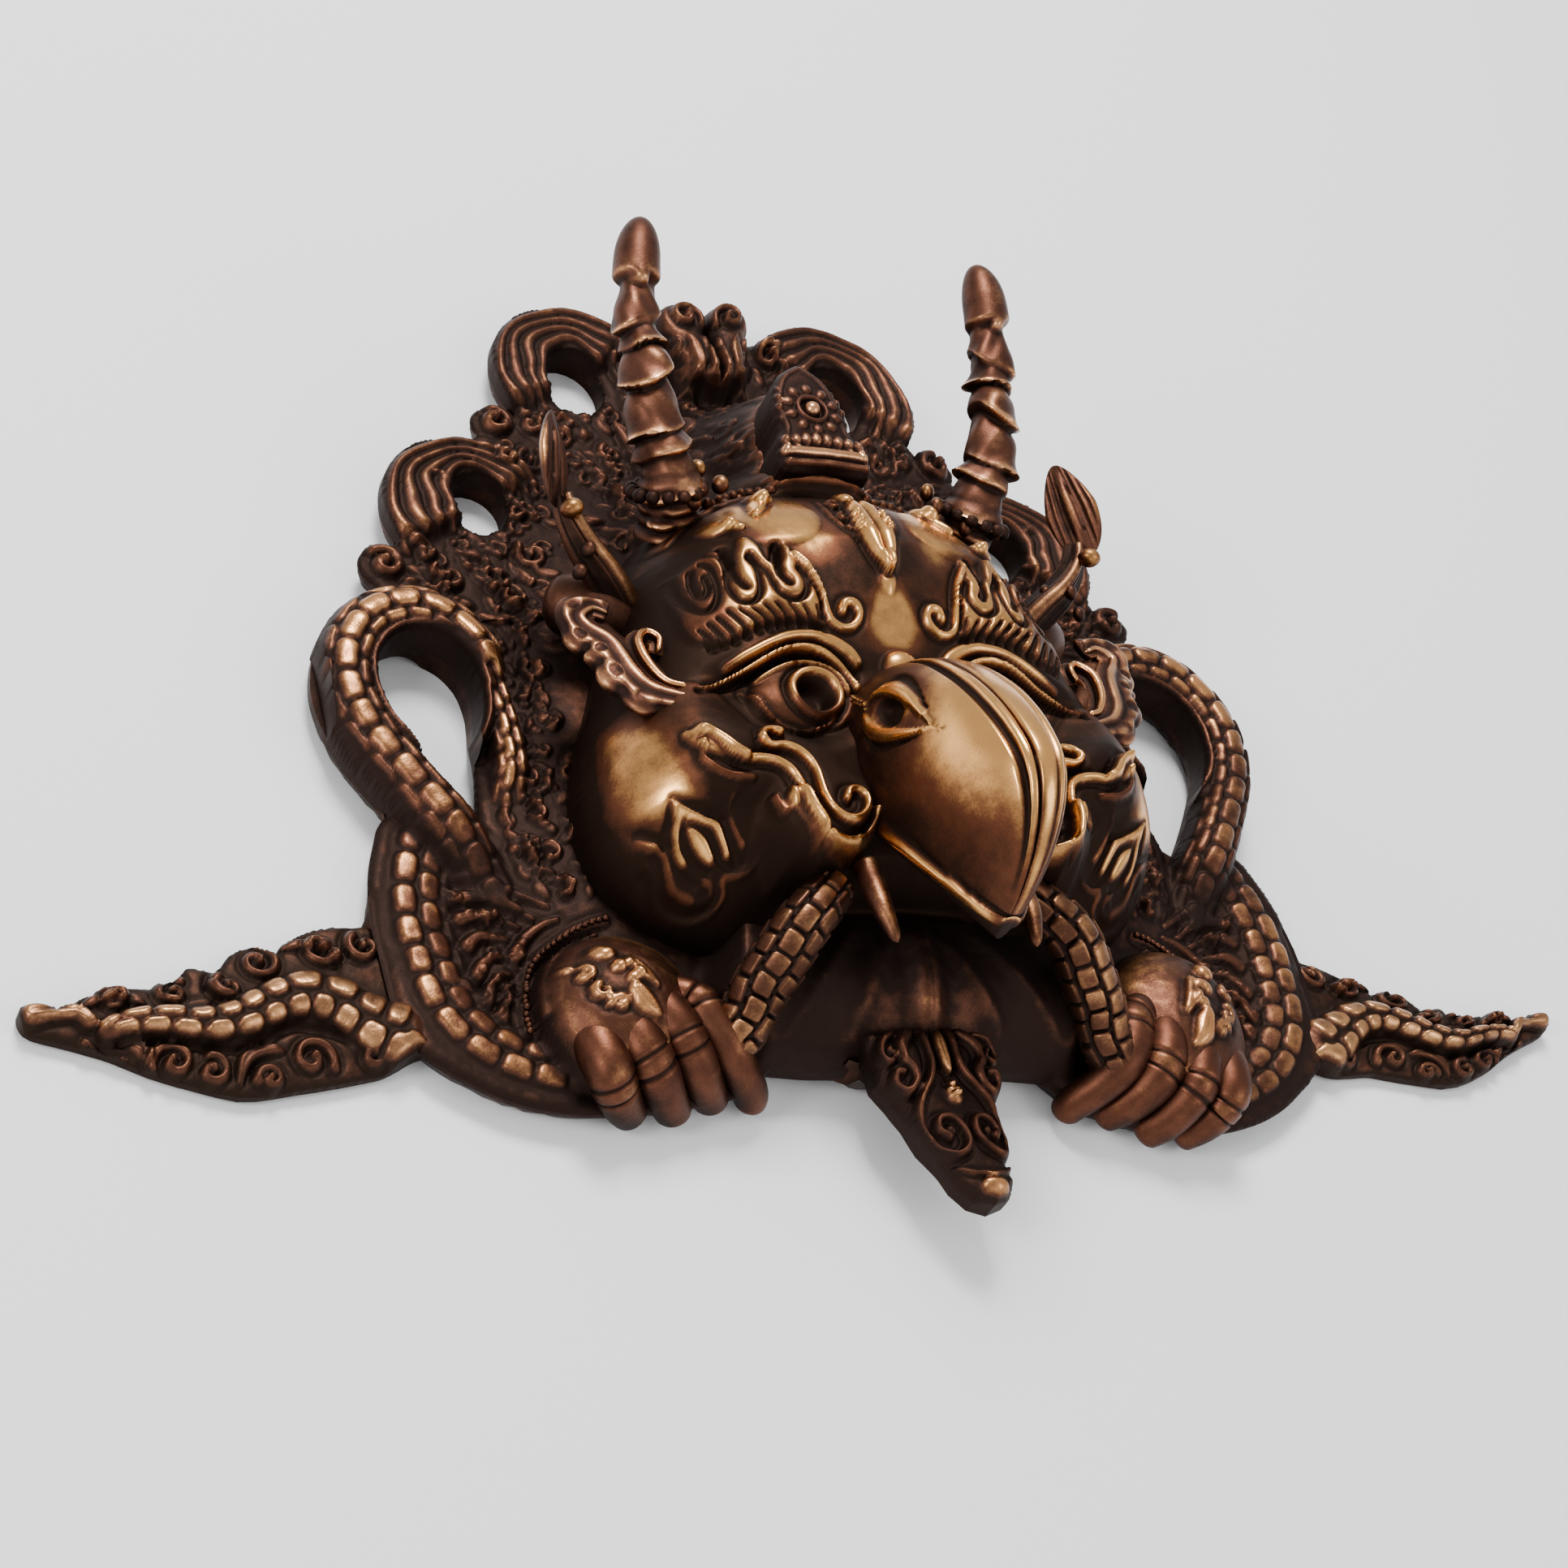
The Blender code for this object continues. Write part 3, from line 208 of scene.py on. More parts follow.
def along(route, x, y):
    """For each place, its distance to the route, the signed side, and how far along the foot is."""
    best = np.full(x.shape, 1e9)
    side = np.zeros(x.shape)
    run = np.zeros(x.shape)
    gone = 0.0
    for (ax, ay), (bx, by) in zip(route[:-1, :2], route[1:, :2]):
        dx, dy = bx - ax, by - ay
        length = math.hypot(dx, dy)
        if length < 1e-9:
            continue
        t = np.clip(((x - ax) * dx + (y - ay) * dy) / length**2, 0, 1)
        away = np.hypot(x - ax - t * dx, y - ay - t * dy)
        nearer = away < best
        best = np.where(nearer, away, best)
        side = np.where(nearer, np.sign(dx * (y - ay) - dy * (x - ax)) * away, side)
        run = np.where(nearer, gone + t * length, run)
        gone += length
    return best, side, run, gone


def polygon_distance(outline, x, y):
    """Distance to a closed outline, negative inside it."""
    points = np.array(outline, float)
    away = np.full(x.shape, 1e9)
    inside = np.zeros(x.shape, bool)
    for (ax, ay), (bx, by) in zip(points, np.roll(points, -1, axis=0)):
        dx, dy = bx - ax, by - ay
        t = np.clip(((x - ax) * dx + (y - ay) * dy) / (dx * dx + dy * dy), 0, 1)
        away = np.minimum(away, np.hypot(x - ax - t * dx, y - ay - t * dy))
        if ay != by:
            inside ^= ((ay > y) != (by > y)) & (x < (bx - ax) * (y - ay) / (by - ay) + ax)
    return np.where(inside, -away, away)


def ellipse_distance(x, y, cx, cy, rx, ry):
    """About the distance to an ellipse, negative inside it."""
    return (np.hypot((x - cx) / rx, (y - cy) / ry) - 1) * min(rx, ry)


def full_outline(half):
    """A closed outline from its right half, which starts and ends on the mirror line."""
    right = list(half)
    return right + [(-x, y) for x, y in reversed(right) if x > 1e-6]


def closed_curve(outline, per_span):
    """A smooth closed curve through an outline."""
    return curve_through(tuple(outline) + tuple(outline[:1]), per_span)[:-1]


def smooth_step(low, high, value):
    t = np.clip((value - low) / (high - low), 0, 1)
    return t * t * (3 - 2 * t)


def blend_max(a, b, width):
    """The higher of two surfaces, with a hollow fillet of the given width where they meet."""
    t = np.clip(0.5 + 0.5 * (a - b) / width, 0, 1)
    return a * t + b * (1 - t) + width * t * (1 - t)


def bump(reach):
    """A rounded profile: one on the line and nought at one half width from it."""
    return np.sqrt(np.clip(1 - np.asarray(reach) ** 2, 0, 1))


def wing_share(x, y):
    """Nought on the body and one out on the wings."""
    return smooth_step(*WING_ROOT, x) * smooth_step(*WING_SHOULDER, y)


def blurred(field, cells, wrap=False):
    """A field softened over so many cells each way, by two passes of a running mean."""
    n = max(1, int(round(cells)))
    for axis in (0, 1):
        for _ in range(2):
            pad = [(n, n) if a == axis else (0, 0) for a in (0, 1)]
            mode = "wrap" if wrap and axis == 1 else "edge"
            total = np.cumsum(np.pad(field, pad, mode=mode), axis=axis)
            total = np.concatenate([np.zeros_like(np.take(total, [0], axis)), total], axis)
            size = field.shape[axis]
            high = np.take(total, range(2 * n + 1, 2 * n + 1 + size), axis)
            field = (high - np.take(total, range(size), axis)) / (2 * n + 1)
    return field


class Relief:
    """Heights on an even grid over the right half, with ridges and cuts added along routes."""

    def __init__(self, left, right, bottom, top, step, base=0.36):
        self.step = step
        self.base = base
        self.x, self.y = np.meshgrid(np.arange(left, right, step), np.arange(bottom, top, step))
        self.height = np.zeros(self.x.shape)
        self.polish_and_painted_light = np.zeros(self.x.shape)

    def near(self, points, reach):
        """The part of the grid round some points."""
        left, bottom = (points.min(axis=0) - reach - (self.x[0, 0], self.y[0, 0])) / self.step
        right, top = (points.max(axis=0) + reach - (self.x[0, 0], self.y[0, 0])) / self.step
        return (slice(max(0, int(bottom)), max(0, int(top) + 2)),
                slice(max(0, int(left)), max(0, int(right) + 2)))

    def ridge(self, route, half, rise, taper=(1.0, 1.0), cut=0.0, groove=0.0, smooth=True, polish_and_painted_light=0.0):
        """A rounded ridge. cut lowers the ground beside it, and groove is a line down its middle."""
        line = curve_through(route) if smooth else np.array(route, float)
        view = self.near(line, half * max(taper) + 3)
        x, y = self.x[view], self.y[view]
        if not x.size:
            return
        away, _, run, whole = along(line, x, y)
        width = np.maximum(half * (taper[0] + (taper[1] - taper[0]) * run / whole), 0.15)
        form = bump(away / width)
        self.height[view] += rise * form * np.minimum(1, width / half + 0.3)
        self.height[view] -= cut * smooth_step(width + 1.5, width + 0.2, away) * (1 - form)
        self.height[view] -= groove * smooth_step(0.8, 0.15, away) * (form > 0)
        self.polish_and_painted_light[view] = np.where(form > 0.3, np.maximum(self.polish_and_painted_light[view], polish_and_painted_light), self.polish_and_painted_light[view])

    def cut(self, route, half, depth, taper=(1.0, 1.0), smooth=True):
        """An incised line with sloping walls."""
        line = curve_through(route) if smooth else np.array(route, float)
        view = self.near(line, half + 2)
        x, y = self.x[view], self.y[view]
        if not x.size:
            return
        away, _, run, whole = along(line, x, y)
        width = np.maximum(half * (taper[0] + (taper[1] - taper[0]) * run / whole), 0.1)
        self.height[view] -= depth * smooth_step(width + 0.5, width * 0.3, away)
        # Painted shade: the inside of the cut is made darker.
        self.polish_and_painted_light[view] -= 0.30 * smooth_step(width + 0.35, width * 0.5, away)

    def curl(self, x, y, radius, way, start, turns, half, rise, taper, cut, polish_and_painted_light=0.0):
        """A ridge that winds towards its centre."""
        self.ridge(spiral(x, y, radius, way, start, turns), half, rise, taper, cut, smooth=False,
                   polish_and_painted_light=polish_and_painted_light)

    def scroll(self, x, y, radius, way, start, rise, half=1.3, cut=0.7, turns=1.25, polish_and_painted_light=0.0):
        """A curl with a bead in its centre."""
        self.curl(x, y, radius, way, start, turns, half, rise, (1.15, 0.7), cut, polish_and_painted_light)
        self.knob(x, y, radius * 0.3, rise * 0.8)

    def knob(self, x, y, radius, rise, ratio=1.0, turn=0.0, polish_and_painted_light=0.0):
        """A low dome, oblong when ratio isn't one."""
        view = self.near(np.array([(x, y)], float), radius * max(1, ratio) + 1)
        if not self.x[view].size:
            return
        dx, dy = self.x[view] - x, self.y[view] - y
        c, s = math.cos(math.radians(turn)), math.sin(math.radians(turn))
        form = bump(np.hypot((dx * c + dy * s) / ratio, dy * c - dx * s) / radius)
        self.height[view] += rise * form
        self.polish_and_painted_light[view] = np.where(form > 0.2, np.maximum(self.polish_and_painted_light[view], polish_and_painted_light), self.polish_and_painted_light[view])

    def leaf(self, base, tip, half, rise, bend=0.0, vein=0.8, cut=0.8, polish_and_painted_light=0.0):
        """A pointed leaf from base to tip, widest a third of the way, with a vein."""
        base, tip = np.array(base, float), np.array(tip, float)
        ahead = tip - base
        across = np.array([-ahead[1], ahead[0]]) * bend
        t = np.linspace(0, 1, 12)[:, None]
        line = base + ahead * t + across * 4 * t * (1 - t)
        view = self.near(line, half + 3)
        x, y = self.x[view], self.y[view]
        if not x.size:
            return
        away, _, run, whole = along(line, x, y)
        share = run / whole
        width = np.maximum(half * (4.2 * share * (1 - share)) ** 0.6 * (1.15 - 0.4 * share), 0.12)
        form = bump(away / width)
        self.height[view] += rise * form
        self.height[view] -= cut * smooth_step(width + 1.4, width + 0.1, away) * (1 - form)
        self.height[view] -= vein * smooth_step(0.7, 0.1, away) * (form > 0)
        self.polish_and_painted_light[view] = np.where(form > 0.2, np.maximum(self.polish_and_painted_light[view], polish_and_painted_light), self.polish_and_painted_light[view])

    def wear_and_painted_light(self, metal):
        """How rubbed the metal is, with painted shade in it: nought in the hollows and on steep walls,
        which stands for their shade as well as their dark patina, one on the high places.
        """
        share = metal.astype(float)

        def softened(cells):
            return blurred(self.height * share, cells) / np.maximum(blurred(share, cells), 0.05)

        even = softened(0.8 / self.step)
        # Places below the softened height and steep walls go dark: painted shade, together with the dark
        # patina of the hollows.
        fine = np.clip(self.height - softened(1.6 / self.step), -0.9, 0.45)
        broad = np.clip(self.height - softened(4.5 / self.step), -3, 2)
        slope_y, slope_x = np.gradient(even, self.step)
        wall = smooth_step(0.9, 2.2, np.hypot(slope_x, slope_y))
        polish_and_painted_light = blurred(self.polish_and_painted_light, 1)
        return np.clip(self.base + 0.36 * fine + 0.045 * broad - 0.16 * wall + polish_and_painted_light, 0, 1)

    def soften(self, share):
        """Round the edges a little, as in a casting from a hand-made mould."""
        self.height += share * (blurred(self.height, 1) - self.height)


def scale_pattern(side, run, borders, length, gap=0.34, round_end=2.2):
    """Raised scales with round ends between the given borders, each row half a scale further on."""
    height = np.zeros(np.broadcast(side, run).shape)
    for k, (low, high) in enumerate(zip(borders[:-1], borders[1:])):
        across = side - (low + high) / 2
        place = run / length + 0.5 * (k % 2) + 0.07 * np.sin(run / 7.3 + k)
        forward = (place - np.round(place)) * length
        corner = min(round_end, (high - low) * 0.4)
        reach_x = np.maximum(np.abs(across) - ((high - low) / 2 - gap - corner), 0)
        reach_y = np.maximum(np.abs(forward) - (length / 2 - gap - corner), 0)
        edge = np.hypot(reach_x, reach_y) - corner
        height = np.maximum(height, smooth_step(0.35, -0.55, edge) * (1 - 0.3 * forward / length))
    return height


def head_edge(x, y):
    """Distance to the head's outline, negative inside it."""
    return polygon_distance(full_outline(curve_through(HEAD_OUTLINE, 5)), x, y)


def plate_edge(x, y):
    """Distance to the rim of the body without wings, pendant and holes, negative on metal."""
    edge = polygon_distance(full_outline(TORSO_OUTLINE), x, y)
    for cx, cy, radius in (UPPER_ARCH, LOWER_ARCH, SCROLL_BETWEEN, SIDE_CURL, FINIAL_LOBE):
        edge = np.minimum(edge, np.hypot(x - cx, y - cy) - radius)
    edge = np.minimum(edge, along(curve_through(LOOP_ROUTE), x, y)[0] - SNAKE_RADIUS)
    return np.minimum(edge, along(curve_through(COIL_ROUTE), x, y)[0] - COIL_RADIUS - COIL_BAND)


def hole_line():
    """The hole inside the snake's loop."""
    return closed_curve(LOOP_HOLE, 4)


def pierced(edge, x, y):
    """An edge distance with the holes of the loops and arches taken out."""
    edge = np.maximum(edge, -polygon_distance(hole_line(), x, y))
    edge = np.maximum(edge, -ellipse_distance(x, y, *UPPER_HOLE))
    return np.maximum(edge, -ellipse_distance(x, y, *LOWER_HOLE))


def uneven(points):
    """The two sides of the mould differ a little, in the wings, the hem, the upper arches and a horn."""
    x, y, z = points.T
    moved = points.copy()
    on_wing = smooth_step(-40, -60, y) * smooth_step(*WING_ROOT, np.abs(x))
    middle = np.interp(np.abs(x), *np.array(WING_MIDDLE).T)
    moved[:, 1] += (np.interp(x, *np.array(WING_HEIGHTS).T) - 1) * (y - middle) * on_wing
    moved[:, 1] += np.interp(x, *np.array(WING_LIFTS).T) * on_wing
    moved[:, 0] -= SHORTER_WING * smooth_step(SHORTER_FROM, WING_TIP, x)
    moved[:, 1] += np.interp(x, *np.array(HEM_LIFTS).T) * smooth_step(HEM_FROM, HEM_TO, y)
    low = smooth_step(CROWN_BELOW + 8, CROWN_BELOW, z)
    moved[:, 1] += np.interp(x, *np.array(CROWN_LIFTS).T) * smooth_step(CROWN_FROM, CROWN_TO, y) * low
    moved[:, 0] += HORN_LEAN * smooth_step(CROWN_FROM - 12, CROWN_TO, y) * (1 - low) * (x > 0)
    moved[:, 0] += PENDANT_LEAN * smooth_step(-122, PENDANT_OUTLINE[-1][1], y)
    return moved


def placed(points):
    """Places in the mould, in millimetres, as places in the solid's frame, in metres."""
    return (uneven(np.asarray(points, float)) + SHIFT) * MM


def new_piece(name, points, faces, wear_and_painted_light, material):
    """An object that stands for the cast mask's solid, with its rubbed places and its painted light and
    shade as an attribute.
    """
    mesh = bpy.data.meshes.new(name)
    mesh.from_pydata(placed(points).tolist(), [], [tuple(int(i) for i in face) for face in faces])
    mesh.update()
    attribute = mesh.attributes.new("wear_and_painted_light", "FLOAT", "POINT")
    attribute.data.foreach_set("value", np.asarray(wear_and_painted_light, np.float32))
    mesh.shade_smooth()
    mesh.set_sharp_from_angle(angle=math.radians(SHARP_ANGLE))
    mesh.materials.append(material)
    return stand_in(name, mesh)


def stand_in(name, mesh):
    """A finished mesh as a piece of the cast mask."""
    piece = bpy.data.objects.new(name, mesh)
    bpy.context.scene.collection.objects.link(piece)
    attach(piece, "root")
    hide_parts("garuda_mask")
    return piece


# Rows of beads


BEAD_UNEVENNESS = 0.14


def add_node(tree, kind, values=None, **settings):
    """A node with its settings, and the values of its inputs by name or number."""
    node = tree.nodes.new(kind)
    for name, value in settings.items():
        setattr(node, name, value)
    for name, value in (values or {}).items():
        node.inputs[name].default_value = value
    return node


def bead_row_tree():
    """Beads set along a wire, each turned along it and a little different from the next."""
    tree = bpy.data.node_groups.new("bead_row", "GeometryNodeTree")
    for kind, label in (("Geometry", "Wire"), ("Float", "Spacing"), ("Float", "Radius"),
                        ("Float", "Unevenness"), ("Float", "Wear_and_painted_light"), ("Int", "Seed"), ("Material", "Metal")):
        tree.interface.new_socket(label, in_out="INPUT", socket_type="NodeSocket" + kind)
    tree.interface.new_socket("Beads", in_out="OUTPUT", socket_type="NodeSocketGeometry")
    given = add_node(tree, "NodeGroupInput")
    route = add_node(tree, "GeometryNodeMeshToCurve")
    even = add_node(tree, "GeometryNodeResampleCurve", mode="LENGTH")
    bead = add_node(tree, "GeometryNodeMeshUVSphere", {"Segments": 12, "Rings": 8})
    along_wire = add_node(tree, "GeometryNodeInputTangent")
    turn = add_node(tree, "FunctionNodeAlignRotationToVector", axis="X")
    least = add_node(tree, "ShaderNodeMath", {0: 1.0}, operation="SUBTRACT")
    most = add_node(tree, "ShaderNodeMath", {0: 1.0}, operation="ADD")
    differ = add_node(tree, "FunctionNodeRandomValue", data_type="FLOAT_VECTOR")
    placing = add_node(tree, "GeometryNodeInstanceOnPoints")
    real = add_node(tree, "GeometryNodeRealizeInstances")
    store = add_node(tree, "GeometryNodeStoreNamedAttribute", {"Name": "wear_and_painted_light"})
    smooth = add_node(tree, "GeometryNodeSetShadeSmooth")
    metal = add_node(tree, "GeometryNodeSetMaterial")
    out = add_node(tree, "NodeGroupOutput")
    for source, result, target, socket in (
            (given, "Wire", route, "Mesh"), (route, "Curve", even, "Curve"),
            (given, "Spacing", even, "Length"),
            (given, "Radius", bead, "Radius"), (along_wire, "Tangent", turn, "Vector"),
            (given, "Unevenness", least, 1), (given, "Unevenness", most, 1),
            (least, "Value", differ, "Min"),
            (most, "Value", differ, "Max"), (given, "Seed", differ, "Seed"),
            (even, "Curve", placing, "Points"),
            (bead, "Mesh", placing, "Instance"), (turn, "Rotation", placing, "Rotation"),
            (differ, "Value", placing, "Scale"), (placing, "Instances", real, "Geometry"),
            (real, "Geometry", store, "Geometry"), (given, "Wear_and_painted_light", store, "Value"),
            (store, "Geometry", smooth, "Geometry"), (smooth, "Geometry", metal, "Geometry"),
            (given, "Metal", metal, "Material"), (metal, "Geometry", out, "Beads")):
        tree.links.new(source.outputs[result], target.inputs[socket])
    return tree


def bead_row(name, route, spacing, radius, wear_and_painted_light, seed, material):
    """A row of beads along a route on the right, and its mirror image."""
    tree = bpy.data.node_groups.get("bead_row") or bead_row_tree()
    points, edges = [], []
    for line in (route, route * (-1, 1, 1)):
        edges += [(len(points) + i, len(points) + i + 1) for i in range(len(line) - 1)]
        points += placed(line).tolist()
    mesh = bpy.data.meshes.new(name + "_wire")
    mesh.from_pydata(points, edges, [])
    wire = bpy.data.objects.new(name + "_wire", mesh)
    bpy.context.scene.collection.objects.link(wire)
    modifier = wire.modifiers.new("beads", "NODES")
    modifier.node_group = tree
    values = {"Spacing": spacing * MM, "Radius": radius * MM, "Unevenness": BEAD_UNEVENNESS, "Wear_and_painted_light": wear_and_painted_light,
              "Seed": seed, "Metal": material}
    for item in tree.interface.items_tree:
        if item.name in values:
            modifier[item.identifier] = values[item.name]
    made = bpy.data.meshes.new_from_object(wire.evaluated_get(bpy.context.evaluated_depsgraph_get()))
    wire.modifiers.remove(modifier)
    bpy.data.objects.remove(wire)
    bpy.data.meshes.remove(mesh)
    return stand_in(name, made)


def on_relief(relief, line, above):
    """A line in the plane laid on a relief, a little above it."""
    column = np.rint((line[:, 0] - relief.x[0, 0]) / relief.step).astype(int)
    row = np.rint((line[:, 1] - relief.y[0, 0]) / relief.step).astype(int)
    return np.column_stack([line, relief.height[row, column] + above])


def ring(centre, axis, radius):
    """A closed circle about an axis."""
    axis = np.array(axis, float) / np.linalg.norm(axis)
    across = np.cross(axis, (0, 0, 1.0))
    across /= np.linalg.norm(across)
    turn = np.linspace(0, 2 * math.pi, 49)[:, None]
    return np.array(centre) + radius * (np.cos(turn) * across + np.sin(turn) * np.cross(axis, across))


# Skins over grids and rings


def on_both_sides(px, *fields):
    """The x places of half a grid and its other fields, each with its mirror image before it."""
    left = px.shape[1] - 1
    px = np.concatenate([-px[:, :0:-1], px], axis=1)
    px[:, :left] = -np.abs(px[:, :left])
    return px, *(np.concatenate([field[:, :0:-1], field], axis=1) for field in fields)


def grid_quads(edge):
    """The grid places that the cells inside an edge use, and those cells as faces between them."""
    inside = edge < 0
    cells = inside[:-1, :-1] | inside[1:, :-1] | inside[:-1, 1:] | inside[1:, 1:]
    used = np.zeros(edge.shape, bool)
    for rows in (slice(None, -1), slice(1, None)):
        for columns in (slice(None, -1), slice(1, None)):
            used[rows, columns] |= cells
    index = np.full(edge.shape, -1)
    index[used] = np.arange(used.sum())
    r, c = np.nonzero(cells)
    return used, np.stack([index[r, c], index[r, c + 1], index[r + 1, c + 1], index[r + 1, c]], axis=1)


def rim_edges(quads):
    """The sides of faces that no other face shares."""
    ends = np.concatenate([quads[:, [k, (k + 1) % 4]] for k in range(4)])
    held = set(map(tuple, ends.tolist()))
    return sorted((a, b) for a, b in held if (b, a) not in held)


def ring_faces(rings, sides, turned=False):
    """The faces of a skin made of rings of points, with a cap at each end."""
    k = np.arange(sides)
    i = np.arange(rings - 1)[:, None]
    after = (k + 1) % sides
    quads = np.stack([i * sides + k, i * sides + after, (i + 1) * sides + after, (i + 1) * sides + k],
                     axis=-1)
    quads = quads.reshape(-1, 4)
    first = list(range(sides))
    last = list(range((rings - 1) * sides, rings * sides))
    if turned:
        return quads[:, ::-1].tolist() + [first, last[::-1]]
    return quads.tolist() + [first[::-1], last]


def relief_piece(name, relief, edge, floor, material, side=0):
    """The part of a relief inside an edge, closed below, on both sides or on the one that side says."""
    x, y, z, wear_and_painted_light = relief.x, relief.y, relief.height, relief.wear_and_painted_light(edge < 0.3)
    slope_y, slope_x = np.gradient(edge, relief.step)
    steep = np.maximum(slope_x**2 + slope_y**2, 0.3)
    shift = np.where((np.abs(edge) < 0.7 * relief.step) | (edge >= 0), edge, 0)
    px = x - shift * slope_x / steep
    py = y - shift * slope_y / steep
    if side == 0:
        px[:, 0] = 0
        px, py, z, wear_and_painted_light, edge = on_both_sides(px, py, z, wear_and_painted_light, edge)
    elif side < 0:
        px = -px
    used, quads = grid_quads(edge)
    if side < 0:
        quads = quads[:, ::-1]
    top = np.stack([px[used], py[used], np.maximum(z[used], floor + 0.3)], axis=1)
    return walled_piece(name, top, quads, wear_and_painted_light[used], floor, material)


def walled_piece(name, top, quads, wear_and_painted_light, floor, material):
    """A skin with walls from its rim down to a flat floor, and the floor filled."""
    count = len(top)
    rim = rim_edges(quads)
    foot = {}
    for a, b in rim:
        for vertex in (a, b):
            foot.setdefault(vertex, count + len(foot))
    low = top[list(foot)].copy()
    low[:, 2] = floor
    faces = quads.tolist() + [(a, foot[a], foot[b], b) for a, b in rim]
    outline = np.array([(*top[a, :2], *top[b, :2]) for a, b in rim])
    number = {vertex: k for k, vertex in enumerate(foot)}
    edges = [(number[a], number[b]) for a, b in rim]
    flat = delaunay_2d_cdt([Vector(place[:2]) for place in low.tolist()], edges, [], 0, 1e-6)
    if len(flat[0]) == len(low):
        fill = np.array(flat[2])
        middle = low[fill, :2].mean(axis=1)
        ax, ay, bx, by = outline.T
        crossed = (ay > middle[:, 1:]) != (by > middle[:, 1:])
        reach = (bx - ax) * (middle[:, 1:] - ay) / np.where(by == ay, 1, by - ay) + ax
        inside = (crossed & (middle[:, :1] < reach)).sum(axis=1) % 2 == 1
        fill = fill[inside]
        first, second, third = (low[fill[:, k], :2] for k in range(3))
        one, other = second - first, third - first
        turned = one[:, 0] * other[:, 1] - one[:, 1] * other[:, 0] > 0
        fill[turned] = fill[turned][:, ::-1]
        faces += (fill + count).tolist()
    return new_piece(name, np.vstack([top, low]), faces, np.append(wear_and_painted_light, wear_and_painted_light[list(foot)] * 0.5), material)


def tube(route, radii, skin, step, sides, flat=1.0, ends=(0.5, 0.5)):
    """A round body along a route of x, y, height: points, faces, and wear with painted light and shade. A
    skin raises its surface.
    """
    given = np.column_stack([np.array(route, float), np.array(radii, float)])
    line = curve_through(given, 24)
    lengths = np.append(0, np.cumsum(np.linalg.norm(np.diff(line[:, :3], axis=0), axis=1)))
    whole = lengths[-1]
    rings = max(8, int(whole / step))
    run = np.linspace(0, whole, rings)
    centre = np.stack([np.interp(run, lengths, line[:, k]) for k in range(3)], axis=1)
    radius = np.interp(run, lengths, line[:, 3])
    for end, length in ((run, ends[0]), (whole - run, ends[1])):
        radius = radius * np.sqrt(np.clip(1 - (1 - np.clip(end / max(length, 1e-3), 0, 1)) ** 2, 0.0025, 1))
    ahead = np.gradient(centre, axis=0)
    ahead /= np.linalg.norm(ahead, axis=1)[:, None]
    across = np.cross(ahead, (0, 0, 1.0))
    across /= np.linalg.norm(across, axis=1)[:, None]
    lift = np.cross(across, ahead)
    turn = 2 * math.pi * np.arange(sides) / sides
    rr, tt = np.meshgrid(run, turn, indexing="ij")
    raised = skin(rr, tt, whole) if skin else np.zeros(rr.shape)
    wide = radius[:, None] + raised * np.clip(radius / radius.max() * 2, 0, 1)[:, None]
    c, s = np.cos(tt), np.sin(tt) * flat
    outward = c[..., None] * across[:, None] + s[..., None] * lift[:, None]
    points = centre[:, None] + wide[..., None] * outward
    cell = 2 * math.pi * radius.mean() / sides
    # Painted light and shade: the upper side is made lighter and the under side darker; the skin's ridges
    # lighter and grooves darker, as wear with painted shade.
    wear_and_painted_light = 0.5 + 0.55 * (raised - blurred(raised, 1.4 / cell, True)) + 0.16 * np.sin(tt)
    return points.reshape(-1, 3), ring_faces(rings, sides, True), np.clip(wear_and_painted_light, 0, 1).ravel()


def mirrored(shape):
    """The mirror image of a shape, its faces turned round to look outwards."""
    points, faces, wear_and_painted_light = shape
    return points * (-1, 1, 1), [face[::-1] for face in faces], wear_and_painted_light


def pair(name, shape, material):
    """A shape on the right side and its mirror image on the left."""
    new_piece(name + "_right", *shape, material)
    new_piece(name + "_left", *mirrored(shape), material)


# The body plate


LOOP_ROWS = (-9.4, -6.4, -2.2, 5.0, 12.2)
INNER_ROWS = (-6.6, -3.2, 0.6, 4.6)
COIL_ROWS = (-11.0, -7.4, -1.0, 5.6)


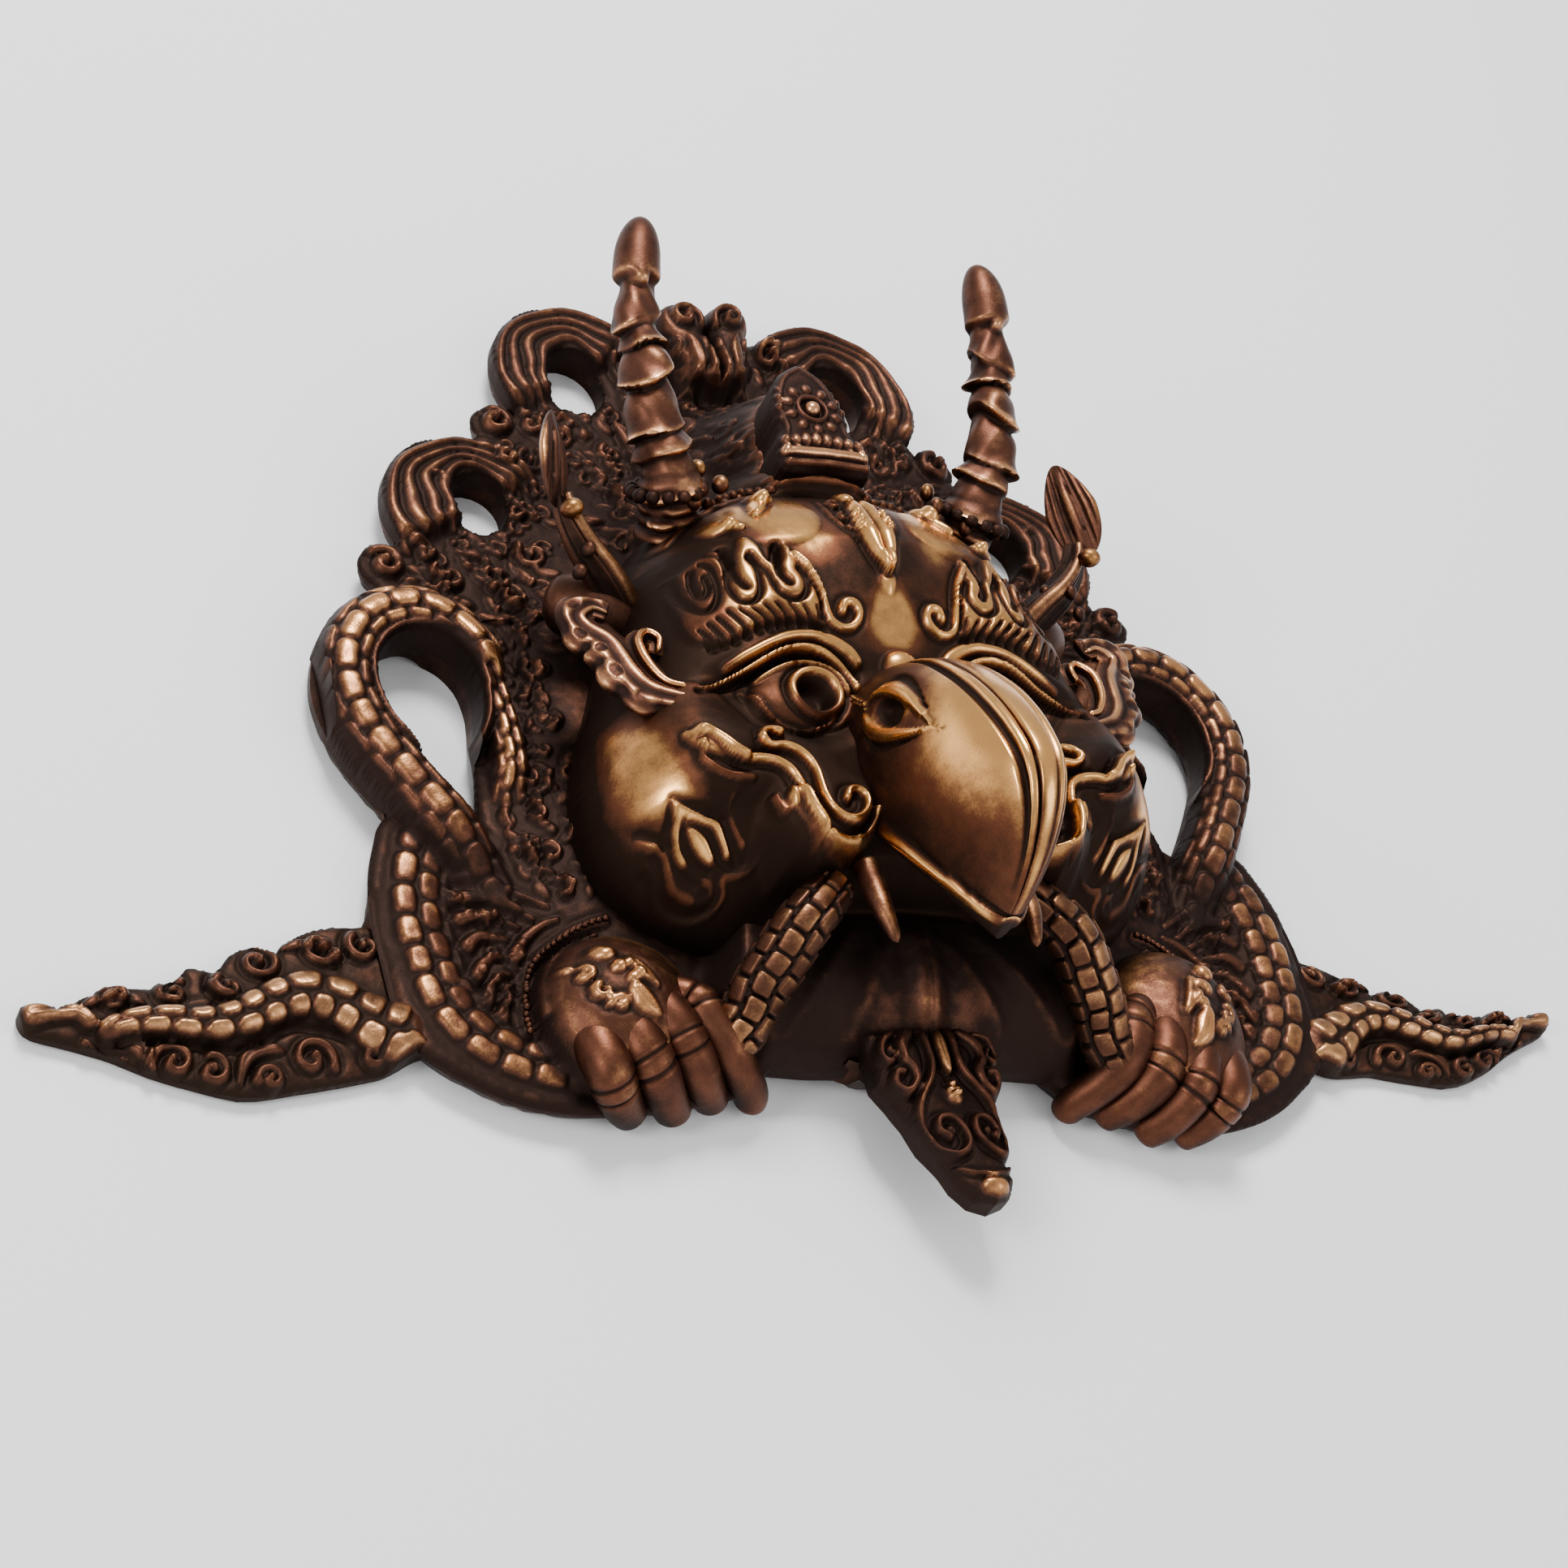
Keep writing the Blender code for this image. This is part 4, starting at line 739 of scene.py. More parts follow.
def snakes(relief):
    """The low coil that runs down to the hand, and the looped strand above it with its collar."""
    x, y = relief.x, relief.y
    away, side, run, _ = along(curve_through(COIL_ROUTE), x, y)
    reach = COIL_RADIUS + COIL_BAND
    scales = scale_pattern(side, run, COIL_ROWS, 9.2)
    body = COIL_TOP - 4.5 + 4.5 * bump(away / reach) - SCALE_RELIEF + SCALE_RELIEF * scales
    band = COIL_TOP - 3.0 - 1.6 * ((side - 6) / 5) ** 2
    body = np.where(side > 5.8, band, body)
    relief.height = np.where(away < reach, np.maximum(relief.height, body), relief.height)
    relief.polish_and_painted_light = np.where(away < reach, 0.26 * scales * (side > -7.5) * (side < 5.8) - 0.04,
                             relief.polish_and_painted_light)
    away, side, run, whole = along(curve_through(LOOP_ROUTE), x, y)
    inner = smooth_step(INNER_STRAND_RUN, INNER_STRAND_RUN - STRAND_CHANGE, run)
    radius = SNAKE_RADIUS + (INNER_STRAND_RADIUS - SNAKE_RADIUS) * inner
    middle = SNAKE_HEIGHT + (INNER_STRAND_TOP - INNER_STRAND_RADIUS - SNAKE_HEIGHT) * inner
    middle = middle - 6.5 * smooth_step(16, 0, run) - 8.0 * smooth_step(whole - 26, whole, run)
    arc = radius * np.arcsin(np.clip(side / radius, -1, 1))
    scales = np.where(inner > 0.5, scale_pattern(arc, run, INNER_ROWS, 7.6),
                      scale_pattern(arc, run, LOOP_ROWS, 9.6))
    body = middle + radius * bump(away / radius) - SCALE_RELIEF + SCALE_RELIEF * scales
    relief.height = np.where(away < radius, np.maximum(relief.height, body), relief.height)
    bright = 0.46 - 0.30 * smooth_step(70, 150, run) - 0.10 * inner
    bright = bright - 0.26 * smooth_step(0.5, 0.95, side / radius)
    bright = bright - 0.3 * smooth_step(14, 0, run) - 0.3 * smooth_step(whole - 24, whole - 6, run)
    relief.polish_and_painted_light = np.where(away < radius, bright * scales - 0.04, relief.polish_and_painted_light)
    hole = polygon_distance(hole_line(), x, y)
    collar = COLLAR_TOP - 2.0 + 1.6 * bump((hole - 1.2) / 0.9) - 0.9 * smooth_step(1.9, 2.4, hole)
    on_collar = (hole > -1.5) & (hole < COLLAR_WIDTH)
    relief.height = np.where(on_collar, np.maximum(relief.height * (hole > 1.5), collar), relief.height)
    relief.polish_and_painted_light = np.where(on_collar, 0.22 * smooth_step(106, 118, x) * (hole > 0) - 0.06, relief.polish_and_painted_light)


def arch_flutes(relief, arch, hole):
    """Round flutes that follow the rim of an arch, between its hole and its edge."""
    x, y = relief.x, relief.y
    out = np.hypot(x - arch[0], y - arch[1])
    inner = ellipse_distance(x, y, *hole)
    share = np.clip(inner / np.maximum(inner + arch[2] - out, 0.1), 0, 1)
    angle = np.degrees(np.arctan2(y - arch[1], x - arch[0]))
    drift = share + 0.05 * np.sin(np.radians(3 * angle) + 5 * share) + 0.025 * np.sin(np.radians(7 * angle))
    wave = np.abs(np.sin(drift * FLUTES * math.pi)) ** 0.7
    crown = ARCH_TOP - FLUTE_DEPTH + FLUTE_DEPTH * wave
    banded = smooth_step(*FLUTED_FROM, angle) * (1 - smooth_step(*FLUTED_TO, angle))
    inside = out < arch[2] + 1
    raised = np.maximum(relief.height, relief.height + (crown - relief.height) * banded)
    relief.height = np.where(inside, raised, relief.height)
    relief.polish_and_painted_light = np.where(inside, np.maximum(relief.polish_and_painted_light, 0.1 * wave * banded), relief.polish_and_painted_light)


def grounds(relief, head):
    """The plate, and the ground that climbs to the head, chest and crown."""
    x, y = relief.x, relief.y
    height = PLATE_TOP + (WING_TOP - PLATE_TOP) * wing_share(x, y)
    nearness = np.clip(1 - np.maximum(head, 0) / BODY_GROUND_REACH, 0, 1)
    height += (BODY_GROUND - height) * smooth_step(0, 1, nearness) * (1 - wing_share(x, y))
    chest = polygon_distance(CHEST_OUTLINE, x, y)
    swell = 7 * np.cos(np.clip((y + 76) / 26, -1.5, 1.5))
    front = CHEST_GROUND + swell - 2.2 * np.maximum(chest, 0)
    fall = np.clip((-84 - y) / 22, 0, 1)
    front = 9.6 + (front - 9.6) * np.sqrt(1 - fall * fall)
    height = blend_max(height, np.where(chest < 9, front, 0), FILLET)
    slope = polygon_distance(full_outline(CROWN_SLOPE), x, y) + 9
    height = blend_max(height, CROWN_SLOPE_TOP - 1.1 * np.maximum(slope, 0), FILLET)
    # The ground that the crown leaf grows out of
    foot = polygon_distance(full_outline(CROWN_LEAF), x, y)
    relief.height = blend_max(height, 43 - 1.6 * np.maximum(foot, 0), 5)


def chest_folds(relief):
    """The keel that runs down from the beak to the pendant, with soft folds beside it."""
    x, y = relief.x, relief.y
    long = smooth_step(-64, -78, y) * smooth_step(-110, -98, y)
    relief.height += 4.2 * np.exp(-(((x - 0.6) / 4.2) ** 2)) * long
    for place, slant, rise in ((13, 0.55, 1.2), (27, 0.75, 1.0)):
        middle = place + slant * (-84 - y)
        fold = rise * np.exp(-(((x - middle) / 3.0) ** 2))
        relief.height += fold * smooth_step(-70, -80, y) * smooth_step(-108, -96, y)
    below = smooth_step(-60, -68, y) * (polygon_distance(CHEST_OUTLINE, x, y) < 6)
    relief.polish_and_painted_light -= 0.16 * below
    spot = np.hypot((x - 8) / 13, (y + 95) / 8)
    relief.polish_and_painted_light += 0.26 * smooth_step(1.1, 0.3, spot)


def finial(relief):
    """The double-lobed finial at the top."""
    x, y = relief.x, relief.y
    edge = np.hypot(x - FINIAL_LOBE[0], y - FINIAL_LOBE[1]) - FINIAL_LOBE[2]
    edge = np.minimum(edge, polygon_distance(FINIAL_STEM, x, y))
    swell = 4 * bump(np.clip(1 + edge / 8, 0, 1))
    relief.height = blend_max(relief.height, FINIAL_TOP - 6 + swell - 2.2 * np.maximum(edge + 1, 0), 2)


def foliage(relief, left, right, low, high, count, seed, lean, size=1.0):
    """Small overlapping leaves and hooked curls over a stretch of ground, leaning away from a point."""
    rng = np.random.default_rng(seed)
    for k in range(count):
        x, y = rng.uniform(left, right), rng.uniform(low, high)
        angle = math.atan2(y - lean[1], x - lean[0]) + rng.uniform(-0.8, 0.8)
        length = size * rng.uniform(6.0, 12.0)
        tip = (x + length * math.cos(angle), y + length * math.sin(angle))
        if k % 4 == 3:
            way = 1 if rng.uniform() < 0.5 else -1
            relief.curl(x, y, size * rng.uniform(2.4, 3.6), way, math.degrees(angle), 0.75, 0.9, 1.2,
                        (1.2, 0.6), 0.4)
        else:
            relief.leaf((x, y), tip, size * rng.uniform(1.5, 2.6), rng.uniform(0.7, 1.4),
                        rng.uniform(-0.35, 0.35), 0.35, 0.4)
    relief.polish_and_painted_light[(relief.x > left) & (relief.x < right) & (relief.y > low) & (relief.y < high)] = -0.03


def body_ornament(relief):
    """Curls, leaves and flames cast on the plate, from the top of the mask down to the hem."""
    # Curls at the arches' ends, and in the finial
    relief.scroll(SCROLL_BETWEEN[0], SCROLL_BETWEEN[1], 5.0, 1, 90, 2.6, 1.9)
    relief.scroll(SIDE_CURL[0], SIDE_CURL[1], 5.2, 1, 60, 2.8, 2.0)
    relief.scroll(7.4, 151.5, 5.6, -1, 200, 2.4, 1.4, 0.8, 1.25, 0.06)
    for base, tip, half in (((2.6, 131), (2.4, 146), 2.4), ((7.4, 130), (8.4, 145), 2.4),
                            ((11.8, 130), (13.2, 142), 2.2)):
        relief.leaf(base, tip, half, 1.4, 0.08, 0.6, 0.3, 0.04)
    relief.scroll(13.5, 141.0, 3.6, 1, -60, 1.8, 1.4)
    relief.scroll(25.0, 145.0, 4.4, 1, 60, 2.0, 1.5)
    # Leaves and curls that fill the crown between the horns and the arches
    for base, tip, half, bend in (((4, 118), (2, 141), 4.0, 0.10), ((12, 112), (13, 136), 4.2, 0.14),
                                  ((20, 104), (24, 128), 4.4, 0.16), ((30, 96), (35, 117), 4.2, 0.14),
                                  ((24, 132), (28, 144), 2.6, -0.2), ((3, 100), (5, 116), 3.4, 0.2)):
        relief.leaf(base, tip, half, 2.0, bend)
    for cx, cy, radius, way in ((9.5, 124, 3.6, 1), (18, 120, 3.4, -1), (27, 112, 3.8, 1),
                                (38, 104, 3.6, -1),
                                (62, 112, 4.2, 1), (64, 98, 4.6, -1), (53, 108, 3.4, 1), (74, 96, 3.6, 1)):
        relief.scroll(cx, cy, radius, way, 70, 1.5, 1.3)
    # Beside the temples and below the lower arch
    for cx, cy, radius, way in ((72, 62, 4.6, -1), (98, 52, 4.8, -1), (74, 78, 4.0, 1), (104, 60, 3.4, 1),
                                (82, 46, 5.2, 1), (80, 20, 3.8, -1)):
        relief.scroll(cx, cy, radius, way, 40, 1.7, 1.5)
    # Hooked curls on the ground between the inner strand and the cheek
    for cx, cy, size in ((91.5, -6, 2.6), (92.0, -19, 3.6), (92.5, -30.5, 3.6), (91.0, -43, 3.2),
                         (90, -54, 2.8)):
        relief.curl(cx, cy, size, 1, 100, 0.7, 1.25, 1.9, (1.3, 0.5), 0.8, 0.10)
    # Flames that lick outwards between the loop, the coil and the hand
    for route in (((94, -58), (101, -54), (108, -50), (115, -48)),
                  ((98, -61), (105, -56.5), (111, -54.5), (117, -54.5)),
                  ((102, -63), (108, -60.5), (113, -60), (117.5, -61)),
                  ((104.5, -67), (110, -66), (114, -66.5), (117, -69)),
                  ((106.5, -72), (110.5, -72), (114, -74.5), (116, -78)),
                  ((107.5, -77.5), (111, -79), (113.5, -82), (115, -86)),
                  ((108, -84), (110.5, -87), (112, -91)),
                  ((92, -62), (97, -63.5), (102, -67.5), (104.5, -72))):
        relief.ridge(route, 2.2, 2.4, (0.35, 1.1), 0.8, groove=0.6, polish_and_painted_light=0.02)


CUFF_RING = ((103.4, -94.5), (103.4, -92.5), (102.8, -85.5), (99.6, -78.2), (94.5, -72.9), (88.9, -69.4),
             (83.4, -67.5))
CUFF_BEADS = ((106, -96), (105.7, -93.3), (104.9, -84.8), (101.4, -75.5), (95.3, -69.5), (87.7, -65.6),
              (80.6, -63.6))


def hand(relief):
    """The back of the hand with its beaded cuff and ornament."""
    x, y = relief.x, relief.y
    reach = np.hypot((x - 82.5) / 22.0, (y + 92.5) / 24.0)
    back = 10 + 18.5 * bump(reach)
    on_hand = reach < 1.0
    relief.height = blend_max(relief.height, np.where(on_hand, back, 0), 1.0)
    relief.polish_and_painted_light = np.where(reach < 0.97, 0.05 + 0.16 * smooth_step(96, 76, x), relief.polish_and_painted_light)
    relief.ridge(CUFF_RING, 0.9, 1.9, (0.8, 0.8), 0.9, polish_and_painted_light=0.22)
    relief.ridge(CUFF_BEADS, 1.9, 0.9, (1, 1), 0.6)
    relief.knob(89.7, -81.8, 3.2, 2.8, 1.1, 20, 0.30)
    relief.knob(86.4, -87.2, 2.3, 2.2, 1.3, -40, 0.32)
    relief.knob(83.6, -91.6, 2.2, 2.0, 1.3, -50, 0.32)
    relief.leaf((83.5, -83.5), (77.0, -94.5), 2.6, 1.8, 0.1, 0.6, 0.6, 0.20)
    relief.leaf((84.6, -93.5), (78.0, -103.0), 3.6, 2.0, 0.1, 0.7, 0.7, 0.30)
    for cx, cy, radius, way, start in ((95.6, -88.2, 2.6, 1, 100), (91.6, -94.6, 2.8, -1, 60),
                                       (88.4, -99.2, 2.6, 1, 20)):
        relief.curl(cx, cy, radius, way, start, 0.85, 1.3, 1.8, (1.2, 0.7), 0.7, 0.22)
    relief.ridge(((97.5, -84.6), (100.2, -83.4)), 1.3, 1.3, (1.1, 0.8), 0.6, polish_and_painted_light=0.16)


def body_relief():
    """The plate with all its ornament, and its distances to the rim and to the head."""
    relief = Relief(0.0, 142.5, -121.5, 161.5, BODY_STEP, 0.27)
    head = head_edge(relief.x, relief.y)
    grounds(relief, head)
    foliage(relief, 0, 76, 92, 142, 110, 21, (0, 20))
    foliage(relief, 8, 50, 62, 98, 60, 25, (0, 20))
    foliage(relief, 60, 108, 26, 96, 130, 22, (40, 10))
    foliage(relief, 78, 99, -58, 30, 90, 23, (84, -80), 0.8)
    foliage(relief, 98, 124, -102, -44, 40, 24, (70, -90), 0.8)
    arch_flutes(relief, UPPER_ARCH, UPPER_HOLE)
    arch_flutes(relief, LOWER_ARCH, LOWER_HOLE)
    finial(relief)
    body_ornament(relief)
    chest_folds(relief)
    snakes(relief)
    hand(relief)
    roughen(relief, 0.14, 3)
    relief.soften(0.5)
    edge = pierced(plate_edge(relief.x, relief.y), relief.x, relief.y)
    round_rim(relief, edge)
    return relief, edge, head


def roughen(relief, height, seed):
    """The small unevenness of a cast ground."""
    rng = np.random.default_rng(seed)
    grain = blurred(rng.standard_normal(relief.x.shape), 1.0)
    lumps = blurred(rng.standard_normal(relief.x.shape), 3.5)
    relief.height = relief.height + height * (1.6 * grain + 5.0 * lumps)


def round_rim(relief, edge, drop=RIM_DROP):
    """A quarter round from the ground down to the wall."""
    rim = np.clip(-edge / ROUNDED_RIM, 0, 1)
    relief.height = relief.height - drop * (1 - np.sqrt(rim * (2 - rim)))


def make_body(material):
    """The plate in two pieces, upper and lower, which meet above the loops."""
    relief, edge, head = body_relief()
    edge = np.maximum(edge, -(head + HIDDEN_BY_HEAD))
    y = relief.y
    relief_piece("lower_plate", relief, np.maximum(edge, y - PLATE_SPLIT), BODY_FLOOR, material)
    relief_piece("upper_plate", relief, np.maximum(edge, PLATE_SPLIT - y), BODY_FLOOR, material)
    cuff = on_relief(relief, curve_through(CUFF_BEADS, 12), 0.3)
    bead_row("cuff_beads", cuff, 1.9, 0.95, 0.50, 5, material)


# The head


BROW_PLATE = ((56.5, 23.7), (53.8, 23.6), (50.6, 25.1), (47.7, 26.9), (43.9, 25.6), (42.9, 20.9),
              (41.6, 21.0),
              (38.5, 29.2), (34.8, 26.0), (33.2, 19.6), (29.8, 19.6), (27.5, 25.5), (25.3, 21.6),
              (22.0, 16.8),
              (20.5, 11.6), (20.0, 5.2), (21.0, 0.2), (27.7, 1.6), (34.8, 0.8), (40.6, -0.6), (48.1, -4.8),
              (52.7, -4.5), (56.9, -0.6), (58.0, 6.8), (57.0, 17.0))
BROW_GROOVES = (((48.0, 25.7), (44.9, 24.0), (44.1, 19.6), (44.9, 14.3), (45.0, 9.8), (43.7, 6.9),
                 (41.8, 6.2),
                 (39.7, 6.7), (38.0, 9.0), (37.1, 13.1), (37.0, 17.2), (38.4, 21.0)),
                ((37.8, 22.2), (36.6, 19.4), (34.9, 16.6), (34.2, 12.7), (33.4, 9.0), (31.5, 7.2),
                 (29.1, 6.5),
                 (26.6, 7.3), (24.8, 9.9), (24.5, 12.8), (25.8, 16.4)),
                ((23.2, 15.2), (22.1, 11.3), (21.3, 7.2), (20.8, 2.2)),
                ((55.4, 22.5), (55.6, 17.0), (55.3, 12.0), (54.2, 8.0), (52.0, 6.0), (49.6, 7.4),
                 (47.8, 11.4),
                 (47.1, 16.3), (47.6, 20.8), (49.0, 22.8)),
                ((51.6, 21.5), (52.4, 16.0), (51.8, 11.4), (49.6, 13.4), (49.2, 18.3)))
BROW_CURL = ((25.6, 21.4), (23.1, 16.8), (21.3, 12.0), (20.2, 7.6), (19.6, 3.6), (18.2, 1.0), (15.6, -0.4),
             (12.8, 0.2), (10.9, 2.2), (10.4, 4.6), (11.7, 6.6), (14.2, 6.6), (15.2, 4.4))
COMB_TOPS = ((54.8, 0.6), (52.4, 1.6), (50.0, 2.8), (47.2, 4.3), (44.2, 4.3), (41.0, 4.5), (37.8, 5.2),
             (34.6, 5.6),
             (30.8, 5.2), (26.8, 4.9), (23.0, 4.9))
COMB_LOWS = ((52.6, -3.8), (50.0, -3.4), (47.0, -2.6), (43.6, -1.2), (40.0, 0.2), (36.8, 0.8), (33.8, 1.2),
             (31.0, 1.6), (27.4, 1.6), (24.2, 1.0), (21.9, 0.2))
LID_UPPER = ((50.0, -11.4), (45.4, -9.0), (41.2, -7.2), (37.2, -5.4), (33.0, -3.8), (28.2, -3.0),
             (23.2, -3.2),
             (18.9, -4.8), (15.2, -7.2), (13.5, -9.8))
LID_UPPER_LINE = ((57.0, -16.0), (53.4, -14.8), (49.4, -12.9), (45.0, -10.8), (40.3, -8.6), (35.7, -6.7),
                  (31.0, -5.6),
                  (26.7, -5.4), (22.6, -6.4), (18.9, -8.5), (15.6, -10.8), (13.4, -13.6))
LID_MIDDLE = ((57.0, -17.2), (49.4, -14.0), (43.8, -11.4), (39.1, -9.2), (34.6, -7.5), (30.1, -6.7),
              (26.0, -6.9),
              (22.5, -8.2), (19.4, -10.7), (16.8, -13.9), (15.0, -17.4))
LID_MIDDLE_LINE = ((59.0, -18.2), (49.4, -15.4), (43.6, -13.0), (39.0, -11.0), (34.6, -9.4), (30.1, -8.6),
                   (25.6, -8.6),
                   (21.8, -10.0), (18.9, -12.6), (16.9, -15.6), (15.4, -19.4))
LID_INNER = ((42.4, -14.4), (38.0, -12.2), (34.3, -10.9), (31.1, -10.2), (28.0, -10.1), (24.4, -10.6),
             (21.0, -12.2),
             (18.8, -15.0), (17.8, -18.6))
LOWER_LID = ((46.0, -16.8), (43.4, -20.0), (42.0, -23.6), (39.6, -26.9), (36.6, -29.0), (33.0, -30.1),
             (29.4, -30.0),
             (25.6, -28.6), (22.4, -26.6))


def traced_plate(relief, outline, rise, polish_and_painted_light, edge=0.8):
    """A raised flat area with a given outline, made brighter by a share: rubbed metal, and on the cheek a
    painted highlight as well.
    """
    points = np.array(outline, float)
    view = relief.near(points, 3 + edge)
    away = polygon_distance(closed_curve(outline, 4), relief.x[view], relief.y[view])
    share = smooth_step(edge * 0.5, -edge, away)
    relief.height[view] += rise * share
    relief.polish_and_painted_light[view] += polish_and_painted_light * share


def brow(relief):
    """The brow plate with its flames cut apart by grooves, the curl at its inner end, and a comb below."""
    traced_plate(relief, BROW_PLATE, 2.4, 0.26, 1.2)
    outer = smooth_step(41, 52, relief.x) * (np.abs(relief.y - 10) < 22)
    relief.polish_and_painted_light -= 0.34 * outer
    for route in BROW_GROOVES:
        relief.cut(route, 0.7, 2.3)
    relief.cut(((43.0, 26.5), (42.6, 21.0), (42.6, 15.6), (41.2, 11.6)), 1.25, 3.0, (0.8, 1.0))
    relief.cut(((29.4, 25.5), (30.6, 20.5), (31.2, 15.2), (29.6, 12.0)), 1.25, 3.0, (0.8, 1.0))
    relief.ridge(BROW_CURL, 1.5, 1.9, (0.7, 1.0), 0.8, polish_and_painted_light=0.36)
    for top, low in zip(COMB_TOPS, COMB_LOWS):
        relief.cut((top, low, (low[0] - 0.5, low[1] - 1.6)), 1.0, 2.2, (0.15, 1.15), False)


def eye(relief):
    """The socket, the eyeball with its hollow pupil, and the lids in bands."""
    x, y = relief.x, relief.y
    socket = np.hypot((x - 36) / 31, (y + 22) / 17)
    relief.height -= 6.0 * smooth_step(1.0, 0.35, socket) * smooth_step(12, 16, x)
    ball = bump(np.hypot((x - 29.5) / 15.5, (y + 20) / 10.5))
    relief.height += 6.0 * ball
    relief.ridge(LID_UPPER, 2.6, 2.2, (0.5, 0.8), 0.0, polish_and_painted_light=0.30)
    relief.ridge(LID_MIDDLE, 2.0, 3.0, (0.5, 0.8), 0.0, polish_and_painted_light=0.36)
    relief.cut(LID_UPPER_LINE, 0.6, 1.9, (0.6, 0.8))
    relief.cut(LID_MIDDLE_LINE, 1.1, 2.6, (0.6, 0.8))
    relief.ridge(LID_INNER, 1.3, 1.5, (0.6, 0.9), 0.4, polish_and_painted_light=0.26)
    relief.ridge(LOWER_LID, 0.9, 1.4, (0.6, 0.6), 0.9, polish_and_painted_light=0.12)
    cx, cy = 27.2, -19.6
    ring = np.hypot((x - cx) / 1.04, (y - cy))
    relief.height -= 1.3 * smooth_step(0.8, 0.2, np.abs(ring - 8.6)) * (ball > 0)
    relief.height += 1.7 * bump((ring - 6.6) / 1.25)
    # Painted light: the upper arc of the iris ring is brighter than the lower.
    relief.polish_and_painted_light += 0.34 * bump((ring - 6.6) / 1.25) * smooth_step(cy - 7, cy + 1, y)
    hollow = np.hypot(x - 27.6, y + 20.4) / 5.6
    relief.height -= 4.6 * smooth_step(1.0, 0.55, hollow)
    # Painted shade: the pupil's hollow is darkened.
    relief.polish_and_painted_light = np.where(hollow < 1.0, -0.5, relief.polish_and_painted_light)


def forehead(relief):
    """The dome of the forehead, its smooth gilded patches, the middle strip, and the crown's band."""
    x, y = relief.x, relief.y
    relief.height += 5.0 * np.exp(-((x / 22) ** 2 + ((y - 26) / 26) ** 2))
    bright_patch = ((44, 42), (32, 51), (18, 52), (12, 44), (11.5, 34), (13.5, 23), (20, 19), (28, 26), (37, 31))
    traced_plate(relief, bright_patch, 0, 0.50, 8.0)
    relief.height += 1.6 * bump(np.hypot((x - 28) / 15, (y - 38) / 13))
    bridge = np.maximum(np.hypot(x / 8.4, (y - 4) / 13), np.abs(x) / 6.6 + 0.05 * (y - 4) - 0.1)
    relief.polish_and_painted_light += 0.5 * smooth_step(1.25, 0.55, bridge)
    relief.height -= 0.6 * smooth_step(1.05, 0.2, bridge)
    relief.height += 1.6 * bump(np.hypot(x / 2.6, (y - 16) / 6.0))
    relief.leaf((1.2, 45), (0.4, 15), 3.4, 3.6, 0.06, 0.0, 1.2, 0.44)
    relief.knob(0, 49.5, 3.2, 3.4, 1.1, 90, 0.36)
    for cx, cy, radius, way, start in ((6.0, 43.6, 2.6, -1, 120), (6.2, 37.4, 2.4, 1, 200),
                                       (5.2, 31.6, 2.0, -1, 120)):
        relief.curl(cx, cy, radius, way, start, 0.9, 0.95, 2.0, (1.2, 0.7), 0.7, 0.06)
    relief.ridge(((9.2, 46), (9.8, 40), (8.6, 34), (5.8, 28)), 0.9, 1.2, (0.8, 0.6), 0.6, polish_and_painted_light=0.04)
    relief.ridge(((0, 60), (16, 59), (30, 55), (42, 49), (52, 40)), 2.6, 1.6, (1, 1), 1.0, groove=0.8,
                 polish_and_painted_light=-0.05)
    for k in range(9):
        relief.knob(4.5 + 5.2 * k, 64.6 - 0.02 * (4.5 + 5.2 * k) ** 1.75, 2.0, 1.6, 1.2, 80)
    for cx, cy, turn in ((26.6, 46.5, -62), (43.5, 36.8, 22)):
        c, t = math.cos(math.radians(turn)), math.sin(math.radians(turn))
        relief.knob(cx - 2.0 * c, cy - 2.0 * t, 3.9, 3.6, 1.15, turn, 0.30)
        way = 1 if turn < 0 else -1
        tip = (cx + 9.0 * c * way, cy + 9.0 * t * way)
        relief.leaf((cx - 3.0 * c, cy - 3.0 * t), tip, 2.6, 2.2, 0.0, 0.0, 0.5, 0.34)
    relief.height += 3.6 * bump(np.hypot(x / 5.8, (y + 11) / 5.0)) * (x < 8)
    relief.polish_and_painted_light += 0.3 * bump(np.hypot(x / 5.8, (y + 11) / 5.0))


MOUSTACHE_PAD = ((65, -32.5), (57.8, -32.0), (46.4, -31.0), (40.0, -30.0), (31.0, -34.8), (25.0, -41.0),
                 (18.0, -44.6),
                 (14.8, -50.5), (16.4, -57.6), (24.9, -66.7), (36.0, -69.5), (42.6, -66.6), (47.9, -57.8),
                 (48.0, -49.7),
                 (56.4, -49.4), (63.2, -44.4), (66.4, -38.0))
MOUSTACHE_MAIN = ((64.4, -34.3), (61.8, -35.4), (59.3, -38.2), (57.2, -41.2), (54.2, -42.9), (49.9, -42.6),
                  (45.3, -43.3),
                  (42.0, -45.8), (40.5, -49.6), (40.0, -53.4), (39.7, -57.4), (38.4, -61.4), (36.2, -64.4),
                  (33.0, -66.0),
                  (28.9, -66.0), (24.4, -64.4), (20.8, -60.9), (19.2, -56.4))
MOUSTACHE_UPPER = ((41.6, -33.6), (43.7, -32.9), (46.4, -33.9), (47.6, -36.6), (45.6, -38.4), (41.7, -38.0),
                   (38.5, -39.1),
                   (35.8, -41.9), (34.5, -45.6), (34.3, -49.6), (34.1, -53.4), (33.1, -57.0), (30.8, -59.4),
                   (27.8, -60.2),
                   (24.6, -58.8), (22.3, -55.6), (22.3, -52.6), (24.1, -50.9), (26.6, -51.3), (27.8, -53.6))
